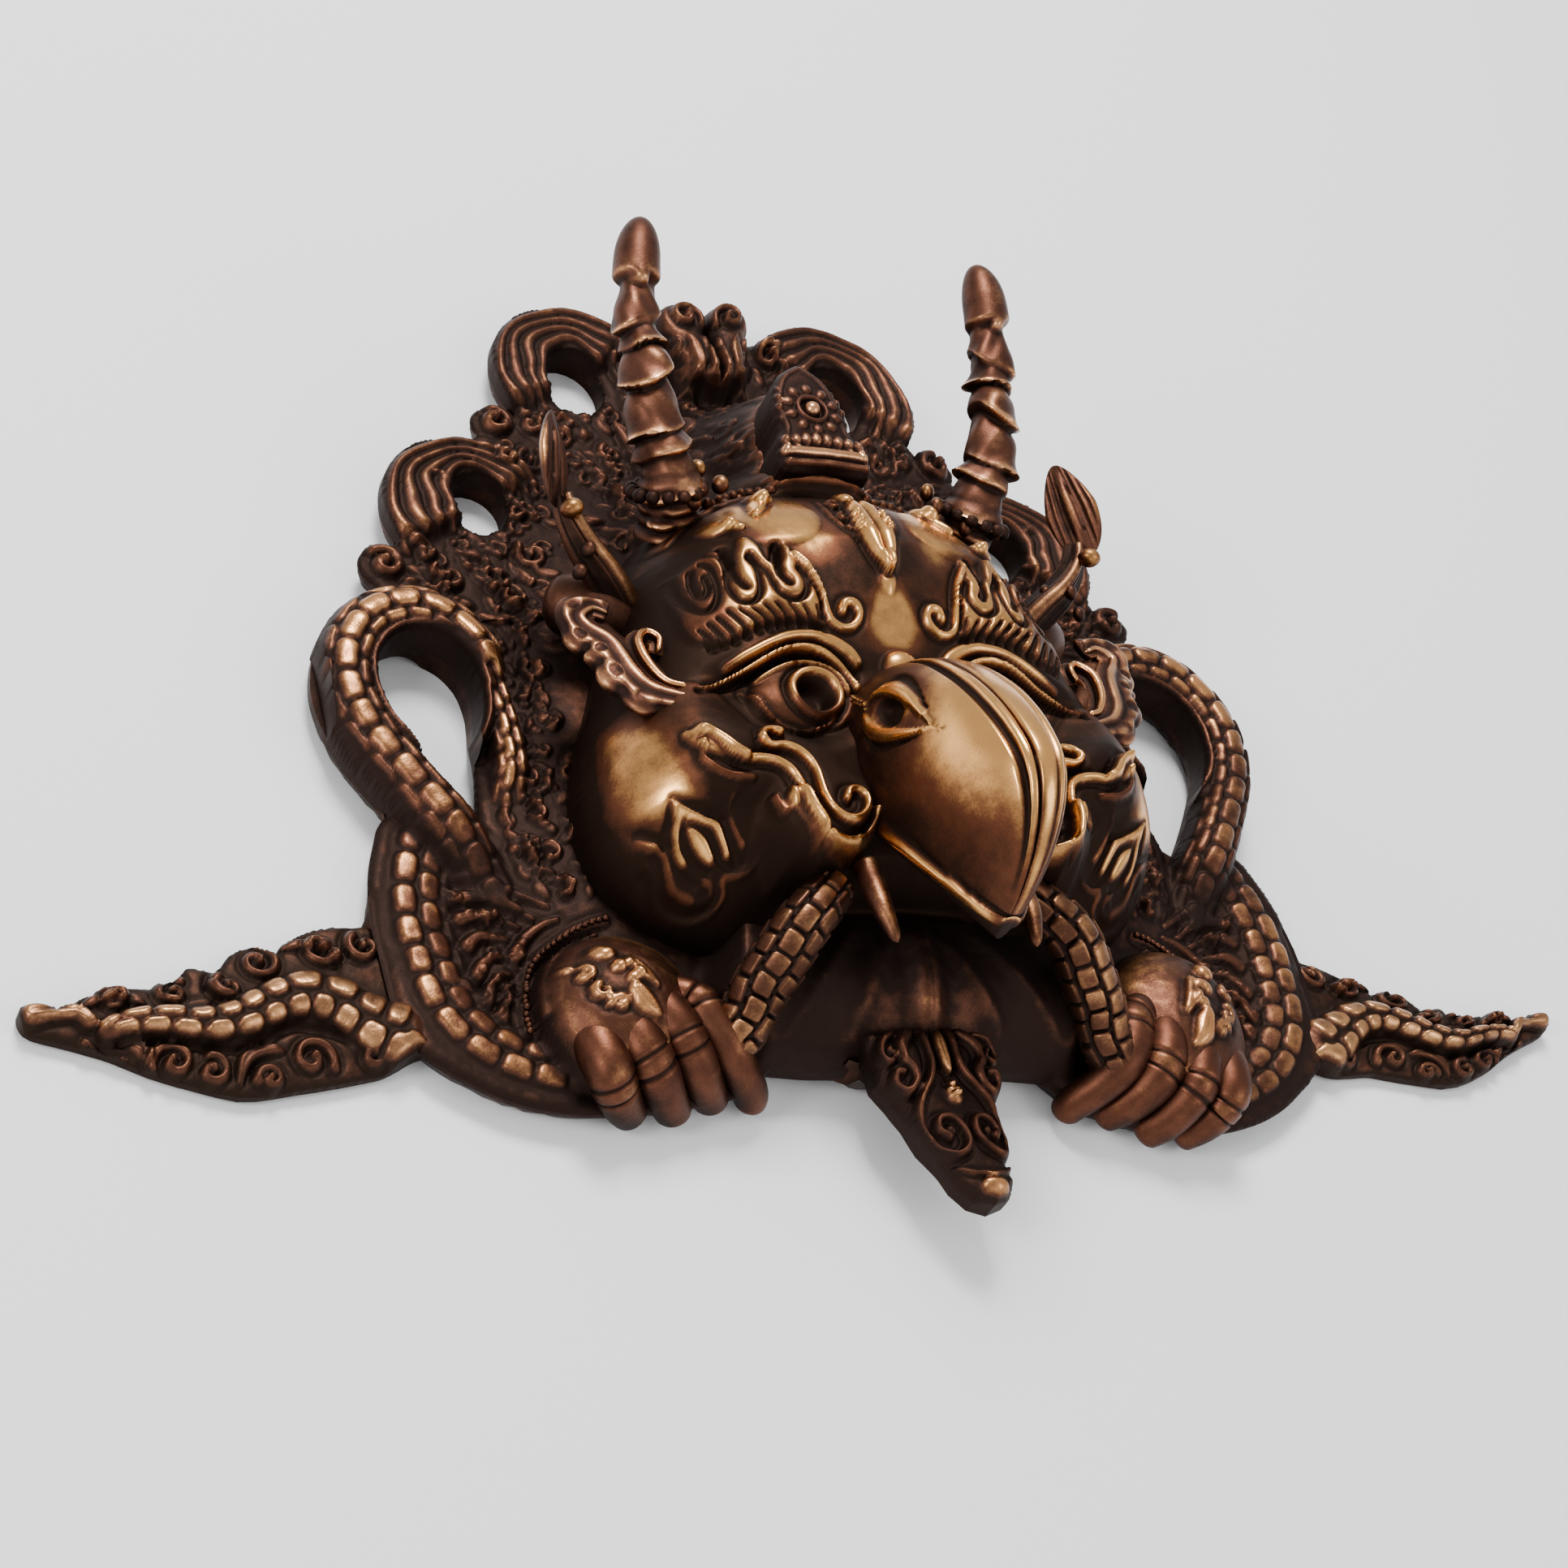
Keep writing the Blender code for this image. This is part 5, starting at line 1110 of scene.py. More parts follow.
MOUSTACHE_GAP = ((50.2, -39.9), (45.2, -40.4), (40.9, -42.3), (38.2, -46.2), (37.4, -51.2), (37.2, -56.4),
                 (35.6, -60.3),
                 (32.6, -62.8), (28.6, -63.3), (24.4, -61.6), (20.7, -57.6))


def moustache(relief):
    """The scrolled strands beside the beak, on a raised pad."""
    points = np.array(MOUSTACHE_PAD)
    view = relief.near(points, 6)
    away = polygon_distance(MOUSTACHE_PAD, relief.x[view], relief.y[view])
    share = smooth_step(3.5, -4.0, away)
    level = np.maximum(relief.height[view], 57.2)
    relief.height[view] += (level - relief.height[view]) * share
    relief.leaf((67.5, -33.0), (53.0, -43.6), 3.0, 2.2, 0.06, 0.0, 0.8, 0.26)
    relief.ridge(((64.6, -38), (64.3, -41.5), (61.5, -45.0), (57.5, -47.0), (52, -47.6)), 1.6, 1.3,
                 (0.6, 0.6), 0.6)
    relief.ridge(MOUSTACHE_MAIN, 1.75, 3.0, (1.0, 0.85), 0.9, polish_and_painted_light=0.34)
    relief.ridge(MOUSTACHE_UPPER, 1.6, 3.0, (0.95, 0.9), 0.9, polish_and_painted_light=0.30)
    relief.cut(MOUSTACHE_GAP, 0.9, 1.6, (0.5, 1.0))
    relief.leaf((43.6, -51.0), (38.0, -67.0), 3.4, 2.6, -0.08, 0.0, 0.7, 0.12)
    relief.knob(43.4, -54.4, 1.9, 0.9, 1.7, -70, 0.28)
    relief.ridge(((47.0, -52.5), (46.4, -55.6), (45.4, -57.8)), 1.2, 1.4, (1, 0.6), 0.5, polish_and_painted_light=0.1)


CHEEK_FLAMES = (
    (((70.8, -48.2), (68.7, -50.4), (65.7, -52.3), (62.6, -53.5), (60.1, -54.8), (58.6, -56.9),
      (57.2, -58.9),
      (56.4, -60.8)), 1.4, 0.56),
    (((70.8, -48.3), (69.9, -50.5), (69.2, -52.7), (68.9, -54.8), (68.6, -56.8), (67.9, -59.0),
      (66.6, -60.9)), 1.3, 0.52),
    (((76.7, -52.2), (74.3, -54.6), (71.9, -56.4), (70.3, -58.7), (69.7, -61.0), (68.6, -64.0),
      (66.2, -66.2),
      (63.2, -67.6)), 1.35, 0.36),
    (((63.2, -67.6), (60.4, -68.1), (58.8, -67.3), (59.4, -65.6), (61.4, -64.4)), 0.9, 0.06),
    (((74.2, -58.1), (72.4, -60.2), (71.4, -62.6), (71.0, -65.0), (69.2, -67.6), (65.2, -69.6),
      (60.8, -70.6),
      (57.2, -69.8), (55.6, -67.6), (56.6, -65.4)), 0.9, 0.22),
    (((56.9, -50.6), (57.3, -51.9), (56.8, -53.7), (55.6, -56.0), (54.0, -58.0), (52.6, -59.4)), 0.95,
     0.34),
    (((54.5, -51.4), (52.3, -53.1), (50.1, -55.6), (48.2, -58.2), (47.6, -60.3), (48.2, -62.6),
      (50.3, -64.2),
      (53.1, -64.8), (56.0, -64.4)), 0.8, 0.06))
MUZZLE_OUTLINE = ((62, -28), (64, -40), (64, -50), (70, -56), (78, -56), (84, -60), (70, -84), (0, -84),
                  (0, -44), (24, -34), (40, -30))
CHEEK_CUTS = (((70.9, -47.8), (68.8, -49.2), (66.0, -50.7), (62.5, -52.2), (58.1, -53.7)),
              ((58.1, -53.7), (56.8, -56.4), (55.2, -59.4), (53.5, -61.6)),
              ((71.3, -49.1), (71.2, -50.8), (71.1, -52.4), (71.2, -54.2), (70.6, -56.2), (68.9, -59.6),
               (67.2, -61.6),
               (65.2, -63.3), (62.6, -64.6)),
              ((76.9, -51.6), (75.0, -53.1), (72.6, -54.6), (71.0, -56.4)),
              ((67.8, -54.6), (67.2, -57.1), (65.4, -59.6), (63.2, -61.8), (60.3, -63.2)),
              ((66.2, -53.6), (63.7, -54.9), (61.4, -56.7), (59.4, -59.4), (57.1, -61.8), (54.4, -63.1),
               (51.9, -62.4)),
              ((73.3, -57.4), (71.9, -59.6), (70.9, -62.6), (69.4, -65.2), (66.0, -67.6), (62.2, -69.2),
               (58.8, -69.0)),
              ((74.6, -59.7), (72.8, -63.0), (71.6, -66.2), (69.4, -69.0)))


def cheek(relief):
    """The smooth ball of the cheek, with flames carved on its lower side."""
    x, y = relief.x, relief.y
    ball = np.hypot((x - 66) / 21, (y + 33) / 20)
    relief.height += 3.0 * bump(ball)
    muzzle = polygon_distance(MUZZLE_OUTLINE, x, y)
    relief.polish_and_painted_light -= 0.22 * smooth_step(3, -4, muzzle)
    # Painted highlight: the patch on the cheek's ball is made bright, over rubbed metal.
    bright_patch = ((79, -14), (73, -22), (68.5, -31), (66, -40), (66, -49), (71, -52), (78, -50), (84, -40),
              (84, -24))
    traced_plate(relief, bright_patch, 0, 0.42, 6.0)
    for route, half, polish_and_painted_light in CHEEK_FLAMES:
        relief.ridge(route, half, 0.8, (0.5, 0.85), 0.0, polish_and_painted_light=0.85 * polish_and_painted_light)
    relief.leaf((59.6, -62.2), (67.2, -52.6), 2.1, 0.8, 0.0, 0.0, 0.0, 0.40)
    for route in CHEEK_CUTS:
        relief.cut(route, 0.8, 1.5, (0.7, 0.9))


def head_relief():
    """The round head, then its features from the cheeks to the open mouth."""
    relief = Relief(0.0, 88.0, -99.0, 78.0, HEAD_STEP, 0.30)
    x, y = relief.x, relief.y
    head = head_edge(x, y)
    near = np.clip(1 - np.maximum(head, 0) / BODY_GROUND_REACH, 0, 1)
    ground = PLATE_TOP + (BODY_GROUND - PLATE_TOP) * smooth_step(0, 1, near)
    top = np.interp(y, *np.array(HEAD_TOPS).T)
    roll = np.clip(-head / HEAD_ROLL_OFF, 0, 1)
    relief.height = ground + (top - ground) * np.sqrt(1 - (1 - roll) ** HEAD_FULLNESS)
    tuft = np.hypot(np.maximum(x - 10, 0), y - 63)
    relief.height = blend_max(relief.height, 53.5 - 1.3 * tuft, 4)
    cheek(relief)
    forehead(relief)
    eye(relief)
    brow(relief)
    moustache(relief)
    mouth = polygon_distance(full_outline(MOUTH_OUTLINE), x, y)
    floor = np.maximum(MOUTH_FLOOR, relief.height + MOUTH_SLOPE * mouth)
    relief.height = np.where(mouth < 0, np.minimum(relief.height, floor), relief.height)
    # Painted shade: the open mouth under the beak is darkened.
    relief.polish_and_painted_light = np.where(mouth < 0, -0.5, relief.polish_and_painted_light)
    roughen(relief, 0.04, 5)
    relief.soften(0.5)
    return relief, head


CROWN_BAND = ((15.0, 59.5), (22, 59), (29, 57), (35.5, 53.5))


def make_head(material):
    """The head in one piece, with the row of beads above its forehead."""
    relief, head = head_relief()
    relief_piece("head", relief, head + 0.2, HEAD_FLOOR, material)
    band = on_relief(relief, curve_through(CROWN_BAND, 12), 0.2)
    bead_row("crown_band_beads", band, 3.4, 1.6, 0.42, 8, material)


# Crown leaf, beak and the free forms


def make_crown_leaf(material):
    """The upright leaf above the forehead, with a rosette, petals and dots."""
    relief = Relief(0.0, 15.0, 58.0, 104.0, 0.3)
    x, y = relief.x, relief.y
    edge = polygon_distance(full_outline(curve_through(CROWN_LEAF, 4)), x, y)
    reach = np.clip(-edge / 5, 0, 1)
    relief.height = 54.2 + 3.0 * np.sqrt(reach * (2 - reach))
    relief.height += 0.7 * bump((edge + 1.5) / 1.2)
    ring = np.hypot(x, y - 83)
    rosette = 2.6 * bump(ring / 2.5) + 1.3 * bump((ring - 4.4) / 1.0)
    relief.height += rosette - 0.8 * bump((ring - 3.1) / 0.6)
    relief.polish_and_painted_light = 0.36 * (ring < 2.5) + 0.06 * (ring < 5.6)
    for k in range(10):
        a = math.radians(18 + 36 * k)
        relief.knob(7.4 * math.cos(a), 83 + 7.4 * math.sin(a), 1.75, 1.2, 1.15, 18 + 36 * k, 0.16)
    for k in range(4):
        relief.knob(1.7 + 3.3 * k, 71.6 - 0.5 * k, 1.75, 1.5, 1.5, 90, 0.20)
    for k in range(7):
        relief.knob(12.4 - 1.5 * k + 0.18 * k * k, 75.5 + 3.9 * k, 1.0, 0.9, 1.2, 60, 0.12)
    relief.ridge(((0, 67.2), (12.6, 66.8)), 1.7, 1.2, (1, 1), 0.6, smooth=False, polish_and_painted_light=0.42)
    relief.ridge(((0, 63.4), (12.2, 63.0)), 1.2, 0.8, (1, 1), 0.5, smooth=False, polish_and_painted_light=0.12)
    relief.soften(0.4)
    relief_piece("crown_leaf", relief, edge, 40.0, material)


BEAK_STATIONS = ((-12, 61, 50, 9), (-18, 72, 48, 15), (-26, 82.5, 47, 18.5), (-38, 92.5, 47, 20.0),
                 (-50, 99.5, 49, 20.0), (-62, 104, 54, 18.5), (-73, 105.3, 59, 15.5),
                 (-83, 101, 63, 11.5), (-91, 92, 65.5, 7.5), (-96.5, 80, 67, 3.8), (-98.5, 71, 67.5, 1.6))
BEAK_SIDES = 230
BEAK_POWER = 2.35


def make_beak(material):
    """A tall arch in section, hooked at its tip, with bands down each side of its ridge and nostrils."""
    stations = curve_through(BEAK_STATIONS, 20)
    rings = len(stations)
    turn = 2 * math.pi * (np.arange(BEAK_SIDES) + 0.5) / BEAK_SIDES
    across, up = np.cos(turn), np.sin(turn)
    y, ridge, margin, half = (stations[:, k, None] for k in range(4))
    wide = half * np.sign(across) * np.abs(across) ** (2 / BEAK_POWER)
    level = np.where(up >= 0, np.abs(up) ** (2 / BEAK_POWER), 0)
    height = margin + (ridge - margin) * level + np.where(up < 0, 5 * up, 0)
    share = np.linspace(0, 1, rings)[:, None]
    upper = (up > 0)[None, :]
    off = np.abs(wide) * 20.0 / (half + 6.0) * 1.3
    fade = smooth_step(0.05, 0.14, share) * smooth_step(0.92, 0.62, share) * upper
    bands = -1.2 * smooth_step(0.62, 0.2, np.abs(off - 3.7)) * smooth_step(0.05, 0.14, share) * upper
    bands = bands - 1.7 * smooth_step(1.25, 0.5, np.abs(off - 7.8)) * fade
    bands = bands + 0.5 * bump((off - 5.6) / 1.3) * fade + 0.4 * bump(off / 3.4) * upper
    above = height - margin
    gape = smooth_step(-58, -66, y)
    bands = bands + 1.3 * bump((above - 1.8) / 2.1) * gape * (up > -0.4)
    bands = bands - 0.9 * smooth_step(0.7, 0.2, np.abs(above - 4.5)) * gape * upper
    on_side = upper & (off > 9.0)
    leaf_u = (y + 39.5) * -0.73 + (height - 75.0) * 0.68
    leaf_v = (y + 39.5) * 0.68 + (height - 75.0) * 0.73
    leaf_w = 6.2 * np.sqrt(np.clip(1 - (leaf_u / 15.0) ** 2, 0.0025, 1)) * (1 - 0.04 * leaf_u)
    nostril = np.abs(leaf_v) / leaf_w
    bands = bands + on_side * 1.3 * bump((nostril - 0.82) / 0.32)
    bands = bands - on_side * 0.9 * smooth_step(0.16, 0.05, np.abs(nostril - 1.28)) * (np.abs(leaf_u) < 11)
    hollow_u, hollow_v = (leaf_u + 3.4) / 6.8, leaf_v / 4.0
    pit = np.hypot(hollow_u, hollow_v) * (1 + 0.15 * hollow_u)
    bands = bands - on_side * 3.4 * smooth_step(1.0, 0.55, pit)
    normal_x, normal_z = np.gradient(height, axis=1), -np.gradient(wide, axis=1)
    length = np.maximum(np.hypot(normal_x, normal_z), 1e-6)
    wide = wide + bands * normal_x / length
    height = height + bands * normal_z / length
    raised = bands - blurred(bands, 5, True)
    # Painted highlight: the upper middle of the beak is made bright, over its rubbed ridge and bands.
    bright = np.hypot((y + 56) / 34, (height - 99) / 30)
    # Painted shade: the under side of the beak is darker.
    wear_and_painted_light = 0.40 + 0.55 * raised + 0.48 * smooth_step(1.15, 0.2, bright) - 0.4 * (up < -0.05)
    wear_and_painted_light = wear_and_painted_light + 0.25 * smooth_step(2.6, 0.6, off) - 0.35 * smooth_step(0.10, 0.0, share)
    # Painted shade: the nostril's pit is darkened.
    wear_and_painted_light = wear_and_painted_light - 0.5 * on_side * smooth_step(1.0, 0.6, pit)
    points = np.stack([wide, y + 0 * wide, height], axis=-1).reshape(-1, 3)
    new_piece("beak", points, ring_faces(rings, BEAK_SIDES), np.clip(wear_and_painted_light, 0, 1).ravel(), material)


HORN_ROUTE = ((45, 48, 38), (49, 58, 52), (53, 70, 59.5), (54.8, 84, 65), (55.5, 98, 70),
              (54.5, 112, 75), (51.5, 127, 79.5))
HORN_FOOT = (48.0, 55.5, 48.6)
HORN_AXIS = (4, 10, 14)
HORN_FOOT_RADIUS = 9.6


def horn_skin(run, turn, whole):
    """Leaning, uneven ledges with necks between them, one side stronger, and a plain point."""
    drift = 0.25 * np.sin(0.21 * run + 1.3) + 0.16 * np.sin(0.47 * run)
    place = run / 10.4 + drift + 0.24 * np.sin(turn + 0.9) + 0.10 * np.sin(2 * turn + run / 7)
    number, part = np.floor(place), place - np.floor(place)
    ledge = smooth_step(0.0, 0.14, part) * (1 - part) ** 0.9
    strong = 0.68 + 0.32 * np.cos(turn - 1.9 * number) + 0.14 * np.sin(3 * turn + 2.1 * number)
    lumps = 0.35 * np.sin(3 * turn + run / 3.1) * np.sin(run / 4.7 + 2 * turn)
    foot = 0.9 * np.abs(np.sin(run * 0.9)) * smooth_step(22, 12, run)
    below = smooth_step(0.80, 0.77, run / whole)
    return (3.9 * ledge * strong - 2.1 + lumps + foot) * below - 0.5 * smooth_step(0.80, 0.77, run / whole)


def ear_skin(run, turn, whole):
    """Grooves along the upper side."""
    return 0.9 * np.cos(3 * (turn - math.pi / 2)) - 0.5 * smooth_step(0.3, 0.1, np.abs(np.sin(3 * turn)))


def scalloped_skin(run, turn, whole):
    """Grooves along the upper side and round lobes along the outer edge."""
    edge = np.maximum(np.cos(turn), 0)
    lobes = 1.9 * np.abs(np.sin(run * math.pi / 8.5)) * edge**2 * smooth_step(4, 12, run)
    grooves = 0.7 * np.cos(7 * turn) * np.maximum(np.sin(turn), 0)
    reach = np.hypot((np.mod(run, 8.5) - 4.2) / 2.0, (turn - 0.95) / 0.30)
    holes = -1.3 * bump(reach) * smooth_step(10, 16, run)
    return lobes + grooves + holes


SNAKE_ROWS = (-20.1, -14.4, -8.6, -2.9, 2.9, 8.6, 14.4, 20.1)


def snake_skin(run, turn, whole):
    """Rows of scales over the back and the sides."""
    side = (turn - math.pi / 2 + math.pi) % (2 * math.pi) - math.pi
    return 1.2 * scale_pattern(side * 6.4, run, SNAKE_ROWS, 6.6, 0.3, 1.1)


def finger_skin(run, turn, whole):
    """Two engraved ring lines across the knuckle."""
    start = 8.5 if whole < 36 else 19.0
    lines = smooth_step(0.55, 0.15, np.abs(run - start))
    lines = lines + smooth_step(0.55, 0.15, np.abs(run - start - 3.6))
    return -0.7 * lines


def leaf_ear(centre, facing, half, taper=0.35):
    """An upright leaf turned to face inwards, hollow in front with a raised midrib."""
    facing = np.array(facing, float) / np.linalg.norm(facing)
    across = np.cross((0, 1.0, 0), facing)
    across /= np.linalg.norm(across)
    lengthwise = np.cross(facing, across)
    rows, sides = 64, 96
    latitude = np.linspace(0.01, math.pi - 0.01, rows)[:, None]
    turn = (2 * math.pi * np.arange(sides) / sides)[None, :]
    v = np.cos(latitude) + 0 * turn
    u = np.sin(latitude) * np.cos(turn)
    w = np.sin(latitude) * np.sin(turn)
    front = np.maximum(w, 0)
    hollow = 0.9 * front * (1 - u * u) - 0.55 * front * bump(u / 0.22) * smooth_step(1.0, 0.4, np.abs(v))
    lines = 0.14 * front * np.cos(u * 22) * smooth_step(0.15, 0.4, np.abs(u))
    wide = u * half[0] * (1 - taper * np.maximum(v, 0))
    place = wide[..., None] * across + (v * half[1])[..., None] * lengthwise
    place = place + ((w - hollow + lines) * half[2])[..., None] * facing
    relief = -hollow + lines
    wear_and_painted_light = 0.45 + 0.8 * (relief - blurred(relief, 3, True)) + 0.3 * smooth_step(0.8, 1.0, np.abs(u))
    k = np.arange(sides)
    i = np.arange(rows - 1)[:, None]
    after = (k + 1) % sides
    quads = np.stack([i * sides + k, (i + 1) * sides + k, (i + 1) * sides + after, i * sides + after],
                     axis=-1)
    last = (rows - 1) * sides
    faces = quads.reshape(-1, 4)[:, ::-1].tolist() + [list(range(sides)),
                                                      list(range(last, last + sides))[::-1]]
    return (place + np.array(centre)).reshape(-1, 3), faces, np.clip(wear_and_painted_light, 0, 1).ravel()


def round_bead(route, radii):
    """A ball, made as a short tube with round ends."""
    return tube(route, radii, None, 0.3, 40, ends=(radii[0], radii[0]))


HORN_RADII = (9.2, 9.2, 8.6, 7.8, 7.2, 6.6, 6.0)
SCROLL_EAR = ((59.4, -20.4, 52), (64.5, -19.3, 50), (71, -16.2, 48), (74.9, -10.5, 47), (77.4, 0.2, 45),
              (81.6, 6.8, 43), (82.9, 11.2, 43), (78.3, 14.9, 43), (73.6, 12.9, 44))
SCROLL_EAR_RADII = (2.4, 4.0, 5.4, 6.0, 5.8, 5.2, 4.6, 3.8, 2.6)
EAR_STRAND = ((60.8, -16.4, 51), (66.1, -13.4, 49), (69.4, -6.8, 48), (69.8, 0.6, 47), (66.3, 4.9, 46),
              (63.3, 2.5, 47), (64.3, -1.6, 47))
EAR_STRAND_RADII = (1.6, 2.2, 2.6, 2.5, 2.2, 1.9, 1.5)
EAR_BACK = ((62, -12, 44), (68, -6, 42), (74, 3, 40), (77, 10, 40))
EAR_STEM = ((60, 26, 30), (67, 31, 37), (74, 36, 43), (78.5, 42, 47), (80.5, 49, 49.5))
EAR_BALL = ((80.0, 39.0, 51.5), (80.8, 41.5, 52.5), (81.6, 44.0, 53.0))
EAR_BRACKET = ((56, 22, 24), (68, 28, 28), (79, 34, 22))
CROWN_BEADS = ((44.5, 58.9, 47.5), (36.5, 64.6, 48.0), (42.8, 49.6, 51.0), (34.1, 54.9, 53.0))
EAR_BEADS = ((75.5, 33.5, 46.0, 3.0), (70.0, 36.0, 42.0, 2.8), (78.0, 28.0, 43.0, 2.6))
HELD_SNAKE = ((28, -69, 41), (36, -77, 41), (41.4, -82.5, 38.5), (46, -88.6, 33), (50.3, -94.2, 27.5),
              (53.5, -100.5, 22), (57, -105, 18))
HELD_SNAKE_RADII = (5.0, 5.8, 6.4, 6.6, 6.4, 6.0, 5.2)
TUSK = ((21, -66, 47), (22, -80, 50), (20.5, -92, 50))
FINGERS = (((93.5, -98, 16), (92.5, -104, 20.5), (91.2, -111.5, 20.0), (89.3, -115.0, 17.5),
            (85.2, -117.1, 11.5),
            (79.5, -117.3, 4.8)),
           ((85.5, -94, 17), (83.8, -100, 22.5), (81.4, -108.0, 22.0), (78.3, -112.6, 19.5),
            (73.4, -116.0, 12.5),
            (67.8, -117.0, 4.8)),
           ((77.0, -89, 18), (74.6, -95.5, 23.5), (71.5, -103.0, 23.0), (68.0, -108.6, 20.5),
            (62.8, -112.0, 13.5), (56.5, -112.4, 4.8)),
           ((79.0, -84, 15), (71.9, -89.0, 21.5), (65.0, -94.0, 23.5), (62.0, -100.4, 23.0),
            (58.0, -105.8, 21.5), (52.6, -109.6, 16.0), (47.6, -111.4, 9.0), (46.6, -112.6, 3.6)))
FINGER_RADII = (5.6, 6.4, 6.3, 6.0, 5.4, 4.6)
THUMB_RADII = (4.4, 5.4, 5.8, 5.8, 5.4, 5.0, 4.6, 3.6)
KNUCKLE_SUNK = 3.4
FINGER_SUNK = 2.2


def make_free_forms(metal):
    """Horns, ears, beads, tusks, the snakes held in the hands and the fingers."""
    copper, dark, rubbed = metal["coppery_bronze"], metal["cast_bronze"], metal["rubbed_bronze"]
    dull = metal["held_bronze"]
    pair("horn", tube(HORN_ROUTE, HORN_RADII, horn_skin, 0.5, 84, ends=(0.5, 13.0)), copper)
    bead_row("horn_foot_beads", ring(HORN_FOOT, HORN_AXIS, HORN_FOOT_RADIUS), 4.3, 2.1, 0.44, 3, copper)
    pair("scroll_ear", tube(SCROLL_EAR, SCROLL_EAR_RADII, scalloped_skin, 0.5, 96, 0.62), copper)
    pair("scroll_ear_strand", tube(EAR_STRAND, EAR_STRAND_RADII, ear_skin, 0.5, 60), dark)
    pair("scroll_ear_back", tube(EAR_BACK, (4.0, 6.0, 6.0, 4.5), None, 0.8, 48), dull)
    pair("ear_stem", tube(EAR_STEM, (5.6, 5.2, 4.4, 3.4, 2.4), ear_skin, 0.6, 60), dull)
    pair("ear_ball", round_bead(EAR_BALL, (3.2, 3.4, 3.2)), rubbed)
    for k, (x, y, z) in enumerate(CROWN_BEADS):
        bead = round_bead(((x - 1.8, y + 0.6, z - 1), (x, y, z), (x + 1.8, y - 0.6, z + 0.6)),
                          (2.8, 2.9, 2.8))
        pair(f"crown_bead_{k + 1}", bead, rubbed if k < 2 else dark)
    pair("ear_bracket", tube(EAR_BRACKET, (9.0, 9.0, 8.0), None, 1.0, 40, ends=(2, 6)), dull)
    pair("leaf_ear", leaf_ear((81.5, 60.0, 51.5), (-0.7, -0.2, 0.68), (7.8, 15.5, 2.8)), dark)
    for k, (x, y, z, size) in enumerate(EAR_BEADS):
        bead = round_bead(((x - 1.5, y, z - 1), (x, y, z), (x + 1.5, y, z + 0.6)), (size, size, size))
        pair(f"ear_bead_{k + 1}", bead, dull)
    pair("held_snake", tube(HELD_SNAKE, HELD_SNAKE_RADII, snake_skin, 0.45, 96), dull)
    pair("tusk", tube(TUSK, (3.6, 3.0, 1.4), None, 0.8, 40, ends=(0.5, 3)), dark)
    for k, route in enumerate(FINGERS):
        route = [(x, y, z - (KNUCKLE_SUNK if n < 2 else FINGER_SUNK)) for n, (x, y, z) in enumerate(route)]
        radii = FINGER_RADII if k < 3 else THUMB_RADII
        pair(f"finger_{k + 1}", tube(route, radii, finger_skin, 0.55, 52, ends=(1, 3)),
             metal["hand_bronze"])


# Wings and pendant


def make_wings(material):
    """Two thin wings with curled edges, and a snake's tail that runs out along each."""
    relief = Relief(124.0, 233.0, -110.0, -55.0, WING_STEP, 0.30)
    x, y = relief.x, relief.y
    edge = polygon_distance(closed_curve(WING_OUTLINE, 3), x, y)
    relief.height += WING_TOP + 1.2 * smooth_step(0, 12, -edge)
    for cx, cy, radius, way, start in ((154.5, -66.5, 4.6, 1, 200), (171, -70.5, 5.6, 1, 100),
                                       (179.5, -78, 3.8, -1, 60),
                                       (193, -79, 4.4, -1, 120), (161.5, -98, 5.6, -1, 200),
                                       (172.5, -103.5, 3.4, 1, 0),
                                       (195.5, -98, 5.6, 1, -20), (186.5, -101, 4.0, 1, 90),
                                       (208, -80, 3.4, 1, 60),
                                       (146, -97, 3.6, 1, 90), (143, -66, 4.4, -1, 60)):
        relief.scroll(cx, cy, radius, way, start, 2.0, 1.5, 0.8)
    for base, tip, half, bend in (((150, -72), (164, -66), 2.4, 0.25), ((184, -82), (196, -80), 2.2, -0.2),
                                  ((168, -96), (180, -105), 2.4, 0.3), ((202, -98), (210, -90.5), 2.6, 0.3),
                                  ((212, -92), (202, -93), 2.0, -0.25), ((216, -90), (206, -96), 2.2, 0.25),
                                  ((200, -82), (216, -82.5), 2.2, 0.2), ((184, -76), (176, -82), 2.0, 0.2)):
        relief.leaf(base, tip, half, 1.9, bend)
    relief.cut(((150, -93), (158, -90), (166, -89.5), (174, -94), (183, -95.5), (193, -93.5), (203, -92),
                (211, -91)), 1.5, 1.8, (1, 0.5))
    away, side, run, whole = along(curve_through(TAIL_ROUTE), x, y)
    width = TAIL_WIDTH[0] + (TAIL_WIDTH[1] - TAIL_WIDTH[0]) * run / whole
    scales = scale_pattern(side / width * 6, run, (-6.4, -0.4, 6.4), 7.4, 0.5)
    raised = SCALE_RELIEF * scales * np.minimum(1, width / 4)
    tail = WING_TOP + (TAIL_TOP - WING_TOP) * bump(away / width) + raised
    relief.height = np.where(away < width, np.maximum(relief.height, tail), relief.height)
    relief.polish_and_painted_light = np.where(away < width, 0.26 * scales, relief.polish_and_painted_light)
    relief.ridge(((214, -86.5), (217, -83.5), (222, -83), (228, -83.6)), 3.4, 3.6, (0.6, 1.0), 0.8,
                 groove=0.8, polish_and_painted_light=0.16)
    roughen(relief, 0.12, 9)
    relief.soften(0.5)
    round_rim(relief, edge, WING_RIM_DROP)
    relief_piece("wing_right", relief, edge, WING_FLOOR, material, 1)
    relief_piece("wing_left", relief, edge, WING_FLOOR, material, -1)


